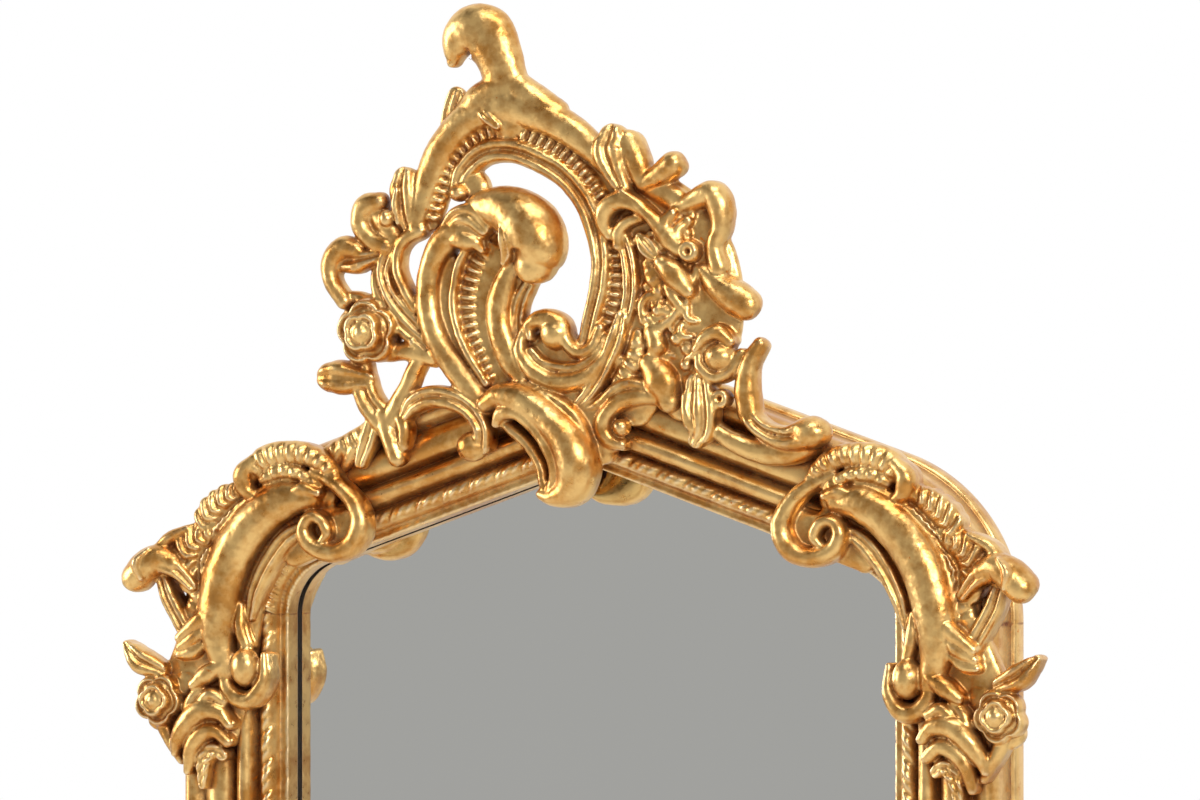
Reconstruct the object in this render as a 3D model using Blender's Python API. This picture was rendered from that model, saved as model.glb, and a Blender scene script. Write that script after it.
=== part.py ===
"""A gilded rococo cheval mirror: a tilting carved frame hung between two turned posts.

Metres, +Z up, the glass faces -Y, and the tilt axis runs along X through Y = 0.
"""

import math

import bmesh
import bpy
from mathutils import Matrix, Vector

# Overall sizes
TOTAL_HEIGHT = 1.82
FRAME_WIDTH = 0.70
FRAME_BOTTOM = 0.24
PIVOT_HEIGHT = 0.95
STAND_DEPTH = 0.52

# Frame moulding and arch
MOULDING_WIDTH = 0.09
FRAME_FRONT = 0.030
FRAME_BACK = 0.025
CREST_RISE = 0.265
SHOULDER_DROP = 0.48
SHOULDER_RADIUS = 0.133
FILLET_FRONT = 0.010

# What sits in the rebate
LIP_DEPTH = 0.016
REBATE_COVER = 0.010
GLASS_THICKNESS = 0.004
BOARD_THICKNESS = 0.006
EDGE_PLAY = 0.002

# Carvings planted on the face of the frame
CARVING_SIDES = 6
CREST_DEPTH = 0.034
SHOULDER_DEPTH = 0.030
SHOULDER_CARVING_REACH = 0.133
SMALL_CARVING_DEPTH = 0.022

# Stand
SIDE_GAP = 0.012
POST_BLOCK_HALF = 0.022
POST_RADIUS = 0.019
POST_TOP = 1.02
POST_BLOCK_HEIGHT = 0.076
FINIAL_HEIGHT = 0.062
BASE_WIDTH = 0.060
BASE_DEPTH = 0.084
BASE_BOTTOM = 0.085
BASE_TOP = 0.195
LEG_HALF_WIDTH = 0.020
LEG_SIDES = 10
PAD_RADIUS = 0.021
GLIDE_RADIUS = 0.017
GLIDE_HEIGHT = 0.006
STRETCHER_THICKNESS = 0.024
STRETCHER_END_HEIGHT = 0.046
STRETCHER_BOW = 0.014
STRETCHER_SCALLOP = 0.010
BLOCK_EDGE = 0.004

# Pivot and fastener sizes
STUD_RADIUS = 0.005
STUD_REACH = 0.024
BUSH_RADIUS = 0.0085
KNOB_RADIUS = 0.021
KNOB_LENGTH = 0.044
SPACER_RADIUS = 0.015
PLATE_THICKNESS = 0.004
PLATE_HEIGHT = 0.096
PLATE_WIDTH = 0.038
PLATE_SCREW_OFFSET = PLATE_HEIGHT * 0.36
SCREW_RADIUS = 0.002
SCREW_LENGTH = 0.016
BOLT_RADIUS = 0.004
BOLT_HEAD_HEIGHT = 0.005
BARREL_RADIUS = 0.007
BARREL_INSET = 0.030
BARREL_WALL = 0.004
BUTTON_LENGTH = 0.040
BUTTON_WIDTH = 0.013
BUTTON_THICKNESS = 0.003
BUTTON_SPREAD = 0.42
BUTTON_INSET = 0.012

FIT = 0.0003  # gap between pieces that seat on each other
RUNNING = 0.0006  # gap around a shaft that turns
OVERRUN = 0.010  # how far a cutter runs past the face it opens
BLIND_END = 0.002  # room left at the end of a blind bore

HALF = FRAME_WIDTH / 2
APEX_HEIGHT = TOTAL_HEIGHT - CREST_RISE
SHOULDER_HEIGHT = TOTAL_HEIGHT - SHOULDER_DROP
LIP_BACK = LIP_DEPTH - FILLET_FRONT
POST_X = HALF + SIDE_GAP + POST_BLOCK_HALF
LEG_REACH = STAND_DEPTH / 2
CARVING_PLANE = -FRAME_FRONT - FIT
REBATE_WALL = MOULDING_WIDTH - REBATE_COVER
SEAT_X = HALF - PLATE_THICKNESS - 2 * FIT
BUTTON_X = HALF - REBATE_WALL + BUTTON_INSET
STRETCHER_HEIGHT = (BASE_BOTTOM + BASE_TOP) / 2
STRETCHER_END = POST_X - BASE_WIDTH / 2 - FIT

for stale in list(bpy.data.objects):
    bpy.data.objects.remove(stale, do_unlink=True)


def finish(name, colour, metallic, roughness):
    """A Principled material of one colour."""
    material = bpy.data.materials.new(name)
    material.use_nodes = True
    shader = material.node_tree.nodes["Principled BSDF"]
    shader.inputs["Base Color"].default_value = (*colour, 1.0)
    shader.inputs["Metallic"].default_value = metallic
    shader.inputs["Roughness"].default_value = roughness
    return material


GILDING = finish("gilding", (0.83, 0.56, 0.20), 1.0, 0.32)
SILVERED = finish("silvered_glass", (0.60, 0.60, 0.59), 1.0, 0.03)
BOARD = finish("backing_fibreboard", (0.24, 0.15, 0.08), 0.0, 0.8)
BRASS = finish("brass", (0.72, 0.53, 0.24), 1.0, 0.3)
STEEL = finish("zinc_steel", (0.55, 0.55, 0.56), 1.0, 0.35)
WOOD = finish("bare_pine", (0.55, 0.38, 0.22), 0.0, 0.7)
FELT = finish("felt", (0.10, 0.09, 0.08), 0.0, 0.95)


def add_object(name, bm, material, pivot=(0, 0, 0), helper_of=None):
    """Turns a bmesh in world places into an object whose origin is at the pivot."""
    bmesh.ops.recalc_face_normals(bm, faces=bm.faces[:])
    mesh = bpy.data.meshes.new(name)
    bm.to_mesh(mesh)
    bm.free()
    mesh.transform(Matrix.Translation(-Vector(pivot)))
    mesh.shade_smooth()
    mesh.set_sharp_from_angle(angle=math.radians(40))
    mesh.materials.append(material)
    obj = bpy.data.objects.new(name, mesh)
    obj.location = pivot
    if helper_of is None:
        bpy.context.scene.collection.objects.link(obj)
    else:
        obj.hide_render = True
        obj.display_type = "WIRE"
        helper_of.objects.link(obj)
    return obj


def helper_collection(name):
    """A collection that holds the solids a Boolean joins to, or cuts from, one piece."""
    collection = bpy.data.collections.new(name)
    bpy.context.scene.collection.children.link(collection)
    collection.hide_render = True
    return collection


def combine(obj, helpers, operation):
    """Adds a Boolean of a whole collection to the object."""
    modifier = obj.modifiers.new(operation.lower(), "BOOLEAN")
    modifier.operation = operation
    modifier.solver = "EXACT"
    modifier.operand_type = "COLLECTION"
    modifier.collection = helpers
    modifier.use_self = operation == "UNION"


def bridge(bm, rings, closed=False):
    """Skins a row of rings of equal count, capping the two ends unless the row is closed."""
    loops = [[bm.verts.new(point) for point in ring] for ring in rings]
    count = len(loops[0])
    pairs = list(zip(loops, loops[1:]))
    if closed:
        pairs.append((loops[-1], loops[0]))
    for near, far in pairs:
        for i in range(count):
            j = (i + 1) % count
            bm.faces.new((near[i], near[j], far[j], far[i]))
    if not closed:
        bm.faces.new(loops[0][::-1])
        bm.faces.new(loops[-1])


def box_mesh(low, high):
    """A bmesh box between two corners."""
    bm = bmesh.new()
    rings = []
    for z in (low[2], high[2]):
        ring = [(low[0], low[1], z), (high[0], low[1], z), (high[0], high[1], z), (low[0], high[1], z)]
        rings.append([Vector(point) for point in ring])
    bridge(bm, rings)
    return bm


def turned_mesh(profile, centre, axis, segments=12, lobes=0, lobe_depth=0.0):
    """A turned solid. The profile is (radius, place along the axis); a zero radius ends it on the axis."""
    turn = Vector((0, 0, 1)).rotation_difference(Vector(axis)).to_matrix()
    bm = bmesh.new()
    rings = []
    for radius, place in profile:
        if radius == 0:
            rings.append([bm.verts.new(Vector(centre) + turn @ Vector((0, 0, place)))])
            continue
        ring = []
        for i in range(segments):
            angle = 2 * math.pi * i / segments
            wave = radius * (1 + lobe_depth * math.cos(lobes * angle))
            point = Vector((wave * math.cos(angle), wave * math.sin(angle), place))
            ring.append(bm.verts.new(Vector(centre) + turn @ point))
        rings.append(ring)
    pairs = list(zip(rings, rings[1:]))
    if profile[0][0] > 0:
        pairs.append((rings[-1], rings[0]))
    for near, far in pairs:
        for i in range(segments):
            j = (i + 1) % segments
            corners = [near[i % len(near)], near[j % len(near)], far[j % len(far)], far[i % len(far)]]
            unique = list(dict.fromkeys(corners))
            bm.faces.new(unique)
    return bm


def smooth_path(points, steps=3):
    """A Catmull-Rom curve through points of any dimension, as (place along the row, point)."""
    points = [Vector(point) for point in points]
    padded = [2 * points[0] - points[1], *points, 2 * points[-1] - points[-2]]
    path = []
    for i in range(len(points) - 1):
        a, b, c, d = padded[i : i + 4]
        for k in range(steps):
            t = k / steps
            bend = 2 * b + (c - a) * t + (2 * a - 5 * b + 4 * c - d) * t**2 + (3 * b - a - 3 * c + d) * t**3
            path.append((i + t, bend / 2))
    path.append((len(points) - 1, points[-1]))
    return path


def value_along(values, place):
    """Linear reading of a short list of values at a fractional place."""
    i = min(int(place), len(values) - 2)
    return values[i] + (values[i + 1] - values[i]) * (place - i)


# ---- The mirror frame -------------------------------------------------------------------


def arch_slope():
    """The fall of the top rail, whose outer edge runs tangent to the shoulder's round."""
    across = HALF - SHOULDER_RADIUS
    drop = APEX_HEIGHT - SHOULDER_HEIGHT
    return math.atan2(drop, across) - math.asin(SHOULDER_RADIUS / math.hypot(across, drop))


def arch_stations(steps=6):
    """The outer edge of the top rail, left to right, each point with its inward direction."""
    slope = arch_slope()
    right = []
    for i in range(steps + 1):
        angle = (math.pi / 2 - slope) * (1 - i / steps)
        outward = Vector((math.cos(angle), math.sin(angle)))
        centre = Vector((HALF - SHOULDER_RADIUS, SHOULDER_HEIGHT))
        right.append((centre + SHOULDER_RADIUS * outward, -outward))
    left = [(Vector((-p.x, p.y)), Vector((-n.x, n.y))) for p, n in reversed(right)]
    apex = (Vector((0, APEX_HEIGHT)), Vector((0, -1 / math.cos(slope))))
    return [*left, apex, *right]


def moulding_section():
    """The frame's section, from its back outer corner over the face to the rebate, as (inward, y)."""
    face = [
        (-0.03, 0.80), (-0.03, 0.50), (0.02, 0.30), (0.02, -0.40), (0.05, -0.75), (0.11, -0.92),
        (0.18, -0.86), (0.24, -0.66), (0.30, -0.82), (0.42, -0.95), (0.51, -0.80), (0.55, -0.60),
        (0.58, -0.84), (0.645, -1.00), (0.71, -0.86), (0.745, -0.55), (0.79, -0.68), (0.86, -0.68),
        (0.905, -0.46),
    ]
    section = [(0.03 * MOULDING_WIDTH, FRAME_BACK)]
    for inward, forward in face:
        depth = FRAME_BACK if forward > 0 else FRAME_FRONT
        section.append((inward * MOULDING_WIDTH, forward * depth))
    section += [
        (0.93 * MOULDING_WIDTH, -FILLET_FRONT),
        (MOULDING_WIDTH, -FILLET_FRONT),
        (MOULDING_WIDTH, LIP_BACK),
        (REBATE_WALL, LIP_BACK),
        (REBATE_WALL, FRAME_BACK),
    ]
    return section


def rail_mesh(stations, section):
    """A section swept along stations of (point, inward direction)."""
    bm = bmesh.new()
    rings = []
    for point, inward in stations:
        flat = [(point + inward * u, y) for u, y in section]
        rings.append([Vector((place.x, y, place.y)) for place, y in flat])
    bridge(bm, rings)
    return bm


def stile_stations(side, top_gap=FIT):
    """A stile's outer edge, from its butt joint under the shoulder to its mitre."""
    top = Vector((side * HALF, SHOULDER_HEIGHT - top_gap))
    bottom = Vector((side * HALF, FRAME_BOTTOM))
    return [(top, Vector((-side, 0))), (bottom, Vector((-side, 1)))]


def bottom_stations():
    """The bottom rail's outer edge between its two mitres."""
    left = Vector((-HALF + 2 * FIT, FRAME_BOTTOM))
    right = Vector((HALF - 2 * FIT, FRAME_BOTTOM))
    return [(left, Vector((1, 1))), (right, Vector((-1, 1)))]


def rod_mesh(start, end, radius, segments=10):
    """A plain round rod between two points."""
    start, end = Vector(start), Vector(end)
    length = (end - start).length
    axis = (end - start).normalized()
    return turned_mesh([(0, 0), (radius, 0), (radius, length), (0, length)], start, axis, segments)


def button_heights():
    """Heights of the two turn buttons on each stile."""
    middle = (FRAME_BOTTOM + SHOULDER_HEIGHT) / 2
    return {"upper": middle + BUTTON_SPREAD, "lower": middle - BUTTON_SPREAD}


def build_frame():
    section = moulding_section()
    add_object("top_rail", rail_mesh(arch_stations(), section), GILDING)
    add_object("bottom_rail", rail_mesh(bottom_stations(), section), GILDING)
    for side, label in ((-1, "left"), (1, "right")):
        stile = add_object(f"{label}_stile", rail_mesh(stile_stations(side), section), GILDING)
        cuts = helper_collection(f"{label}_stile_cuts")
        outer = side * (HALF + 2 * OVERRUN)
        low_x, high_x = sorted((side * SEAT_X, outer))
        seat_half = PLATE_HEIGHT / 2 + FIT
        seat = box_mesh(
            (low_x, -2 * FRAME_FRONT, PIVOT_HEIGHT - seat_half),
            (high_x, 2 * FRAME_FRONT, PIVOT_HEIGHT + seat_half),
        )
        add_object(f"{label}_seat_cut", seat, WOOD, helper_of=cuts)
        bore_end = side * (HALF - STUD_REACH - BLIND_END)
        bore = rod_mesh(
            (side * (HALF + OVERRUN), 0, PIVOT_HEIGHT),
            (bore_end, 0, PIVOT_HEIGHT),
            STUD_RADIUS + 2 * RUNNING,
        )
        add_object(f"{label}_stud_bore", bore, WOOD, helper_of=cuts)
        for sign in (-1, 1):
            z = PIVOT_HEIGHT + sign * PLATE_SCREW_OFFSET
            pilot = rod_mesh(
                (side * (HALF + OVERRUN), 0, z),
                (side * (SEAT_X - SCREW_LENGTH - BLIND_END / 2), 0, z),
                SCREW_RADIUS + FIT,
            )
            add_object(f"{label}_plate_pilot_{sign}", pilot, WOOD, helper_of=cuts)
        for level, z in button_heights().items():
            pilot = rod_mesh(
                (side * BUTTON_X, FRAME_BACK + OVERRUN, z),
                (side * BUTTON_X, FRAME_BACK - SCREW_LENGTH, z),
                SCREW_RADIUS + FIT,
            )
            add_object(f"{label}_{level}_pilot", pilot, WOOD, helper_of=cuts)
        combine(stile, cuts, "DIFFERENCE")


def sight_loop(inward):
    """A closed outline at one distance in from the frame's outer edge."""
    loop = [point + direction * inward for point, direction in arch_stations()]
    low = FRAME_BOTTOM + inward
    return [*loop, Vector((HALF - inward, low)), Vector((-HALF + inward, low))]


def plate_mesh(inward, front, back):
    """A flat sheet that fills the frame's outline at one inward distance."""
    bm = bmesh.new()
    loop = sight_loop(inward)
    bridge(bm, [[Vector((p.x, y, p.y)) for p in loop] for y in (front, back)])
    return bm


def build_glazing():
    edge = REBATE_WALL + EDGE_PLAY
    glass_back = LIP_BACK + FIT + GLASS_THICKNESS
    board_front = FRAME_BACK - FIT - BOARD_THICKNESS
    add_object("mirror_glass", plate_mesh(edge, LIP_BACK + FIT, glass_back), SILVERED)
    add_object("backing_board", plate_mesh(edge, board_front, FRAME_BACK - FIT), BOARD)
    near, far = edge, MOULDING_WIDTH - FIT
    front, back = glass_back + FIT, board_front - FIT
    strip = [(near, front), (far, front), (far, back), (near, back)]
    add_object("top_glass_strip", rail_mesh(arch_stations(), strip), WOOD)
    add_object("bottom_glass_strip", rail_mesh(bottom_stations(), strip), WOOD)
    for side, label in ((-1, "left"), (1, "right")):
        add_object(f"{label}_glass_strip", rail_mesh(stile_stations(side), strip), WOOD)


def button_mesh(side, z):
    """A round-ended lug with a screw hole near its outer end."""
    bm = bmesh.new()
    inner_arm = BUTTON_LENGTH - BUTTON_WIDTH * 1.3
    outer_arm = BUTTON_WIDTH * 0.3
    front = FRAME_BACK + FIT
    back = front + BUTTON_THICKNESS
    rings = []
    count = 16
    for i in range(count):
        angle = 2 * math.pi * (i + 0.5) / count
        around = Vector((math.cos(angle), math.sin(angle)))
        centre = Vector((-side * (inner_arm if -side * around.x > 0 else -outer_arm), 0))
        rim = centre + around * BUTTON_WIDTH / 2
        hole = around * (SCREW_RADIUS + RUNNING)
        ring = [(rim, front), (rim, back), (hole, back), (hole, front)]
        rings.append([Vector((side * BUTTON_X + p.x, y, z + p.y)) for p, y in ring])
    bridge(bm, rings, closed=True)
    return bm


def screw_mesh(seat, inward, grip):
    """A round-head screw whose head sits on a face and whose shank runs inward."""
    head = SCREW_RADIUS * 1.9
    profile = [
        (0, head * 0.55), (head * 0.6, head * 0.45), (head, head * 0.1), (head, FIT),
        (SCREW_RADIUS, FIT), (SCREW_RADIUS, -grip), (0, -grip - SCREW_RADIUS),
    ]
    return turned_mesh(profile, seat, -Vector(inward), 10)


def build_turn_buttons():
    for side, label in ((-1, "left"), (1, "right")):
        for level, z in button_heights().items():
            pivot = (side * BUTTON_X, FRAME_BACK + FIT, z)
            add_object(f"{label}_{level}_turn_button", button_mesh(side, z), BRASS, pivot)
            seat = (side * BUTTON_X, FRAME_BACK + FIT + BUTTON_THICKNESS, z)
            screw = screw_mesh(seat, (0, -1, 0), BUTTON_THICKNESS + SCREW_LENGTH * 0.7)
            add_object(f"{label}_{level}_button_screw", screw, STEEL)


# ---- Carvings ---------------------------------------------------------------------------

# The crest spans the straight run of the arch between the two shoulder rounds. It is drawn
# 0.43 wide and 0.265 above the rail, as (x, z below the top of its finial).
CREST_MARGIN = 0.002
CREST_WIDTH = 2 * (HALF - SHOULDER_RADIUS - CREST_MARGIN)
DRAWN_WIDTH = 0.43
DRAWN_RISE = 0.265
CREST_BANDS = {
    "finial": {
        "points": [
            (-0.030, -0.105), (-0.058, -0.068), (-0.070, -0.030), (-0.092, -0.016), (-0.112, -0.040),
        ],
        "half": [0.020, 0.019, 0.021, 0.015, 0.005],
        "deep": [0.8, 0.85, 0.95, 0.8, 0.4],
    },
    "ring": {
        "points": [
            (-0.150, -0.205), (-0.134, -0.145), (-0.098, -0.100), (-0.040, -0.088), (0.012, -0.118),
            (0.040, -0.175), (0.037, -0.235), (0.008, -0.276), (-0.030, -0.286), (-0.050, -0.268),
        ],
        "half": [0.008, 0.018, 0.020, 0.020, 0.020, 0.020, 0.019, 0.017, 0.013, 0.007],
        "deep": [0.5, 0.75, 0.8, 0.8, 0.8, 0.8, 0.75, 0.7, 0.6, 0.4],
    },
    "inner_scroll": {
        "points": [
            (-0.066, -0.335), (-0.095, -0.300), (-0.112, -0.245), (-0.096, -0.198), (-0.064, -0.178),
        ],
        "half": [0.020, 0.025, 0.025, 0.023, 0.020],
        "deep": [0.8, 0.85, 0.85, 0.92, 0.98],
    },
    "second_band": {
        "points": [(-0.050, -0.318), (-0.064, -0.275), (-0.060, -0.225), (-0.044, -0.198)],
        "half": [0.014, 0.016, 0.015, 0.010],
        "deep": [0.8, 0.8, 0.85, 0.8],
    },
    "tongue": {
        "points": [
            (-0.092, -0.318), (-0.052, -0.312), (-0.016, -0.336), (-0.004, -0.372), (-0.026, -0.392),
        ],
        "half": [0.014, 0.022, 0.022, 0.018, 0.009],
        "deep": [0.8, 0.95, 1.0, 0.95, 0.7],
    },
    "left_branch": {
        "points": [
            (-0.140, -0.180), (-0.170, -0.205), (-0.188, -0.245), (-0.182, -0.295), (-0.160, -0.335),
            (-0.148, -0.362),
        ],
        "half": [0.009, 0.011, 0.013, 0.013, 0.015, 0.008],
        "deep": [0.55, 0.6, 0.65, 0.65, 0.7, 0.5],
    },
    "left_foot": {
        "points": [(-0.115, -0.345), (-0.150, -0.342), (-0.182, -0.346), (-0.205, -0.338)],
        "half": [0.014, 0.017, 0.010, 0.005],
        "deep": [0.6, 0.7, 0.55, 0.4],
    },
    "leaf_scroll": {
        "points": [(-0.150, -0.330), (-0.128, -0.307), (-0.098, -0.317), (-0.096, -0.346)],
        "half": [0.012, 0.012, 0.012, 0.012],
        "deep": [0.65, 0.8, 0.8, 0.7],
    },
    "bridge": {
        "points": [(-0.178, -0.288), (-0.148, -0.276), (-0.118, -0.262)],
        "half": [0.009, 0.008, 0.010],
        "deep": [0.6, 0.55, 0.6],
    },
    "right_mass": {
        "points": [
            (0.030, -0.140), (0.058, -0.165), (0.088, -0.205), (0.100, -0.250), (0.090, -0.300),
            (0.076, -0.345),
        ],
        "half": [0.014, 0.026, 0.040, 0.046, 0.044, 0.020],
        "deep": [0.6, 0.7, 0.75, 0.75, 0.7, 0.6],
    },
    "right_inner": {
        "points": [(0.034, -0.220), (0.050, -0.275), (0.040, -0.325), (0.022, -0.345)],
        "half": [0.018, 0.030, 0.024, 0.014],
        "deep": [0.7, 0.7, 0.7, 0.6],
    },
    "right_leaf": {
        "points": [(0.090, -0.300), (0.110, -0.335), (0.150, -0.352), (0.184, -0.346), (0.196, -0.334)],
        "half": [0.022, 0.020, 0.013, 0.009, 0.011],
        "deep": [0.7, 0.75, 0.65, 0.6, 0.6],
    },
    "lobe_top": {
        "points": [(0.046, -0.165), (0.032, -0.138), (0.024, -0.116)],
        "half": [0.010, 0.016, 0.013],
        "deep": [0.7, 0.85, 0.8],
    },
    "lobe_second": {
        "points": [(0.060, -0.180), (0.062, -0.152), (0.068, -0.134)],
        "half": [0.010, 0.012, 0.011],
        "deep": [0.7, 0.8, 0.8],
    },
    "lobe_third": {
        "points": [(0.096, -0.215), (0.116, -0.188), (0.112, -0.160)],
        "half": [0.012, 0.016, 0.013],
        "deep": [0.7, 0.8, 0.75],
    },
    "lobe_side": {
        "points": [(0.108, -0.245), (0.126, -0.232), (0.142, -0.240)],
        "half": [0.012, 0.012, 0.010],
        "deep": [0.7, 0.75, 0.7],
    },
    "horn": {
        "points": [(0.112, -0.320), (0.130, -0.300), (0.142, -0.275), (0.148, -0.262)],
        "half": [0.014, 0.011, 0.009, 0.004],
        "deep": [0.6, 0.65, 0.6, 0.4],
    },
    "lobe_left_top": {
        "points": [(-0.138, -0.168), (-0.152, -0.150), (-0.154, -0.134)],
        "half": [0.009, 0.013, 0.010],
        "deep": [0.6, 0.7, 0.6],
    },
    "lobe_left_second": {
        "points": [(-0.160, -0.196), (-0.178, -0.182), (-0.188, -0.166)],
        "half": [0.009, 0.013, 0.008],
        "deep": [0.6, 0.7, 0.6],
    },
    "lobe_left_third": {
        "points": [(-0.186, -0.232), (-0.202, -0.222), (-0.214, -0.204)],
        "half": [0.009, 0.014, 0.011],
        "deep": [0.6, 0.7, 0.6],
    },
    "lobe_left_finger": {
        "points": [(-0.180, -0.288), (-0.204, -0.290), (-0.222, -0.292)],
        "half": [0.011, 0.012, 0.010],
        "deep": [0.6, 0.7, 0.65],
    },
}
CREST_BOSSES = [
    (-0.184, -0.258, 0.029, 0.85),
    (-0.046, -0.194, 0.029, 1.0),
    (-0.044, -0.256, 0.016, 0.7),
    (0.026, -0.330, 0.021, 0.85),
]

# Shoulder carvings are placed around the round of the frame: (share of the moulding's width
# inward from its outer edge, degrees above the shoulder's start, or below it where negative).
SHOULDER_BANDS = {
    "scroll": {
        "points": [(0.66, 80), (0.84, 92), (0.74, 105), (0.50, 104), (0.32, 90), (0.30, 68), (0.46, 42),
                   (0.54, 14), (0.52, -16), (0.46, -40)],
        "half": [0.008, 0.010, 0.013, 0.017, 0.019, 0.020, 0.020, 0.020, 0.020, 0.010],
        "deep": [0.7, 0.75, 0.8, 0.85, 0.9, 0.95, 0.95, 0.95, 0.9, 0.6],
    },
    "fringe": {
        "points": [(0.12, 92), (-0.05, 74), (0.05, 53), (0.08, 33), (0.06, 12), (0.20, -10)],
        "half": [0.007, 0.013, 0.014, 0.014, 0.014, 0.010],
        "deep": [0.5, 0.65, 0.7, 0.7, 0.65, 0.5],
    },
    "upper_lobe": {
        "points": [(0.10, 22), (-0.14, 19), (-0.36, 16), (-0.46, 10)],
        "half": [0.012, 0.013, 0.014, 0.010],
        "deep": [0.7, 0.85, 0.85, 0.6],
    },
    "lower_horn": {
        "points": [(0.26, -6), (0.00, -10), (-0.20, -9), (-0.36, -13)],
        "half": [0.016, 0.014, 0.011, 0.006],
        "deep": [0.8, 0.8, 0.7, 0.5],
    },
    "leaf_band": {
        "points": [(0.86, -26), (0.62, -31), (0.40, -36), (0.24, -46)],
        "half": [0.010, 0.019, 0.020, 0.012],
        "deep": [0.7, 1.0, 1.0, 0.8],
    },
    "drop_leaf": {
        "points": [(0.02, -26), (0.10, -38), (0.14, -50)],
        "half": [0.013, 0.013, 0.006],
        "deep": [0.7, 0.75, 0.5],
    },
}
SHOULDER_BOSSES = [(-0.10, -28, 0.027, 0.85), (0.77, -18, 0.014, 0.7)]

# Lower corners and apron, as (x, z) outward and up from the corner, or from the rail's middle.
CORNER_BANDS = {
    "scroll": {
        "points": [
            (-0.046, 0.150), (-0.040, 0.105), (-0.040, 0.068), (-0.068, 0.040), (-0.110, 0.040),
            (-0.155, 0.046),
        ],
        "half": [0.008, 0.016, 0.020, 0.020, 0.016, 0.008],
        "deep": [0.6, 0.9, 1.0, 1.0, 0.9, 0.6],
    },
    "fringe": {
        "points": [(-0.010, 0.098), (-0.010, 0.050), (-0.020, 0.018), (-0.052, 0.010), (-0.100, 0.010)],
        "half": [0.006, 0.010, 0.014, 0.010, 0.006],
        "deep": [0.5, 0.75, 0.8, 0.75, 0.5],
    },
    "inner_leaf": {
        "points": [(-0.050, 0.050), (-0.066, 0.066), (-0.080, 0.080)],
        "half": [0.014, 0.012, 0.005],
        "deep": [0.9, 0.8, 0.5],
    },
}
CORNER_BOSSES = [(-0.030, 0.030, 0.022, 0.95)]
APRON_BANDS = {
    "left_scroll": {
        "points": [(-0.020, 0.010), (-0.040, 0.030), (-0.075, 0.032), (-0.105, 0.050), (-0.130, 0.048)],
        "half": [0.014, 0.016, 0.014, 0.011, 0.006],
        "deep": [0.9, 0.9, 0.85, 0.8, 0.5],
    },
    "right_scroll": {
        "points": [(0.020, 0.010), (0.040, 0.030), (0.075, 0.032), (0.105, 0.050), (0.130, 0.048)],
        "half": [0.014, 0.016, 0.014, 0.011, 0.006],
        "deep": [0.9, 0.9, 0.85, 0.8, 0.5],
    },
    "drop": {
        "points": [(0.0, 0.066), (0.0, 0.030), (0.0, -0.005), (0.0, -0.034)],
        "half": [0.008, 0.020, 0.022, 0.007],
        "deep": [0.7, 1.0, 0.9, 0.5],
    },
}
APRON_BOSSES = [(0.0, 0.042, 0.024, 1.1)]


def band_mesh(points, halves, depths, plane, lift, steps=2):
    """A scroll of rounded section that lies along (x, z) points in front of an XZ plane."""
    path = smooth_path(points, steps)
    bm = bmesh.new()
    rings = []
    for i, (place, point) in enumerate(path):
        before = path[max(i - 1, 0)][1]
        after = path[min(i + 1, len(path) - 1)][1]
        along = (after - before).normalized()
        across = Vector((-along.y, along.x))
        half = value_along(halves, place)
        deep = value_along(depths, place)
        ring = []
        for k in range(CARVING_SIDES):
            angle = 2 * math.pi * k / CARVING_SIDES
            side = point + across * half * math.cos(angle)
            rise = math.sin(angle)
            forward = lift + deep * (0.35 + (0.65 if rise > 0 else 0.35) * rise)
            ring.append(Vector((side.x, plane - forward, side.y)))
        rings.append(ring)
    bridge(bm, rings)
    return bm


def boss_mesh(x, z, radius, deep, plane, lift):
    """A low domed rosette."""
    profile = [
        (0, lift), (radius * 0.8, lift), (radius, lift + deep * 0.3), (radius * 0.75, lift + deep * 0.75),
        (0, lift + deep),
    ]
    return turned_mesh(profile, (x, plane, z), (0, -1, 0), 10, 5, 0.08)


def carving(name, bands, bosses, depth, plane, place):
    """One carved piece: its bands and bosses joined into a single body."""
    meshes = []
    for band in bands.values():
        points = [place(*point) for point in band["points"]]
        deep = [depth * share for share in band["deep"]]
        meshes.append(band_mesh(points, band["half"], deep, plane, FIT * (1 + len(meshes) / 2)))
    for across, along, radius, share in bosses:
        x, z = place(across, along)
        meshes.append(boss_mesh(x, z, radius, depth * share, plane, FIT * (1 + len(meshes) / 2)))
    body = add_object(name, meshes[0], GILDING)
    joined = helper_collection(f"{name}_bands")
    for number, mesh in enumerate(meshes[1:]):
        add_object(f"{name}_band_{number}", mesh, GILDING, helper_of=joined)
    combine(body, joined, "UNION")
    return body


def crest_place(x, z):
    """Places on the crest, whose bands are drawn at one size and stretched to fit."""
    return x * CREST_WIDTH / DRAWN_WIDTH, TOTAL_HEIGHT + z * CREST_RISE / DRAWN_RISE


def shoulder_place(side):
    """Places on one shoulder, from a share of the moulding's width and an angle around the round."""

    def place(share, degrees):
        radius = SHOULDER_CARVING_REACH if degrees >= 90 else SHOULDER_RADIUS
        outward = radius - share * MOULDING_WIDTH
        angle = math.radians(degrees)
        x = HALF - SHOULDER_RADIUS + outward * math.cos(max(angle, 0))
        z = SHOULDER_HEIGHT + (outward * math.sin(angle) if angle > 0 else SHOULDER_RADIUS * angle)
        return side * x, z

    return place


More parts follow.
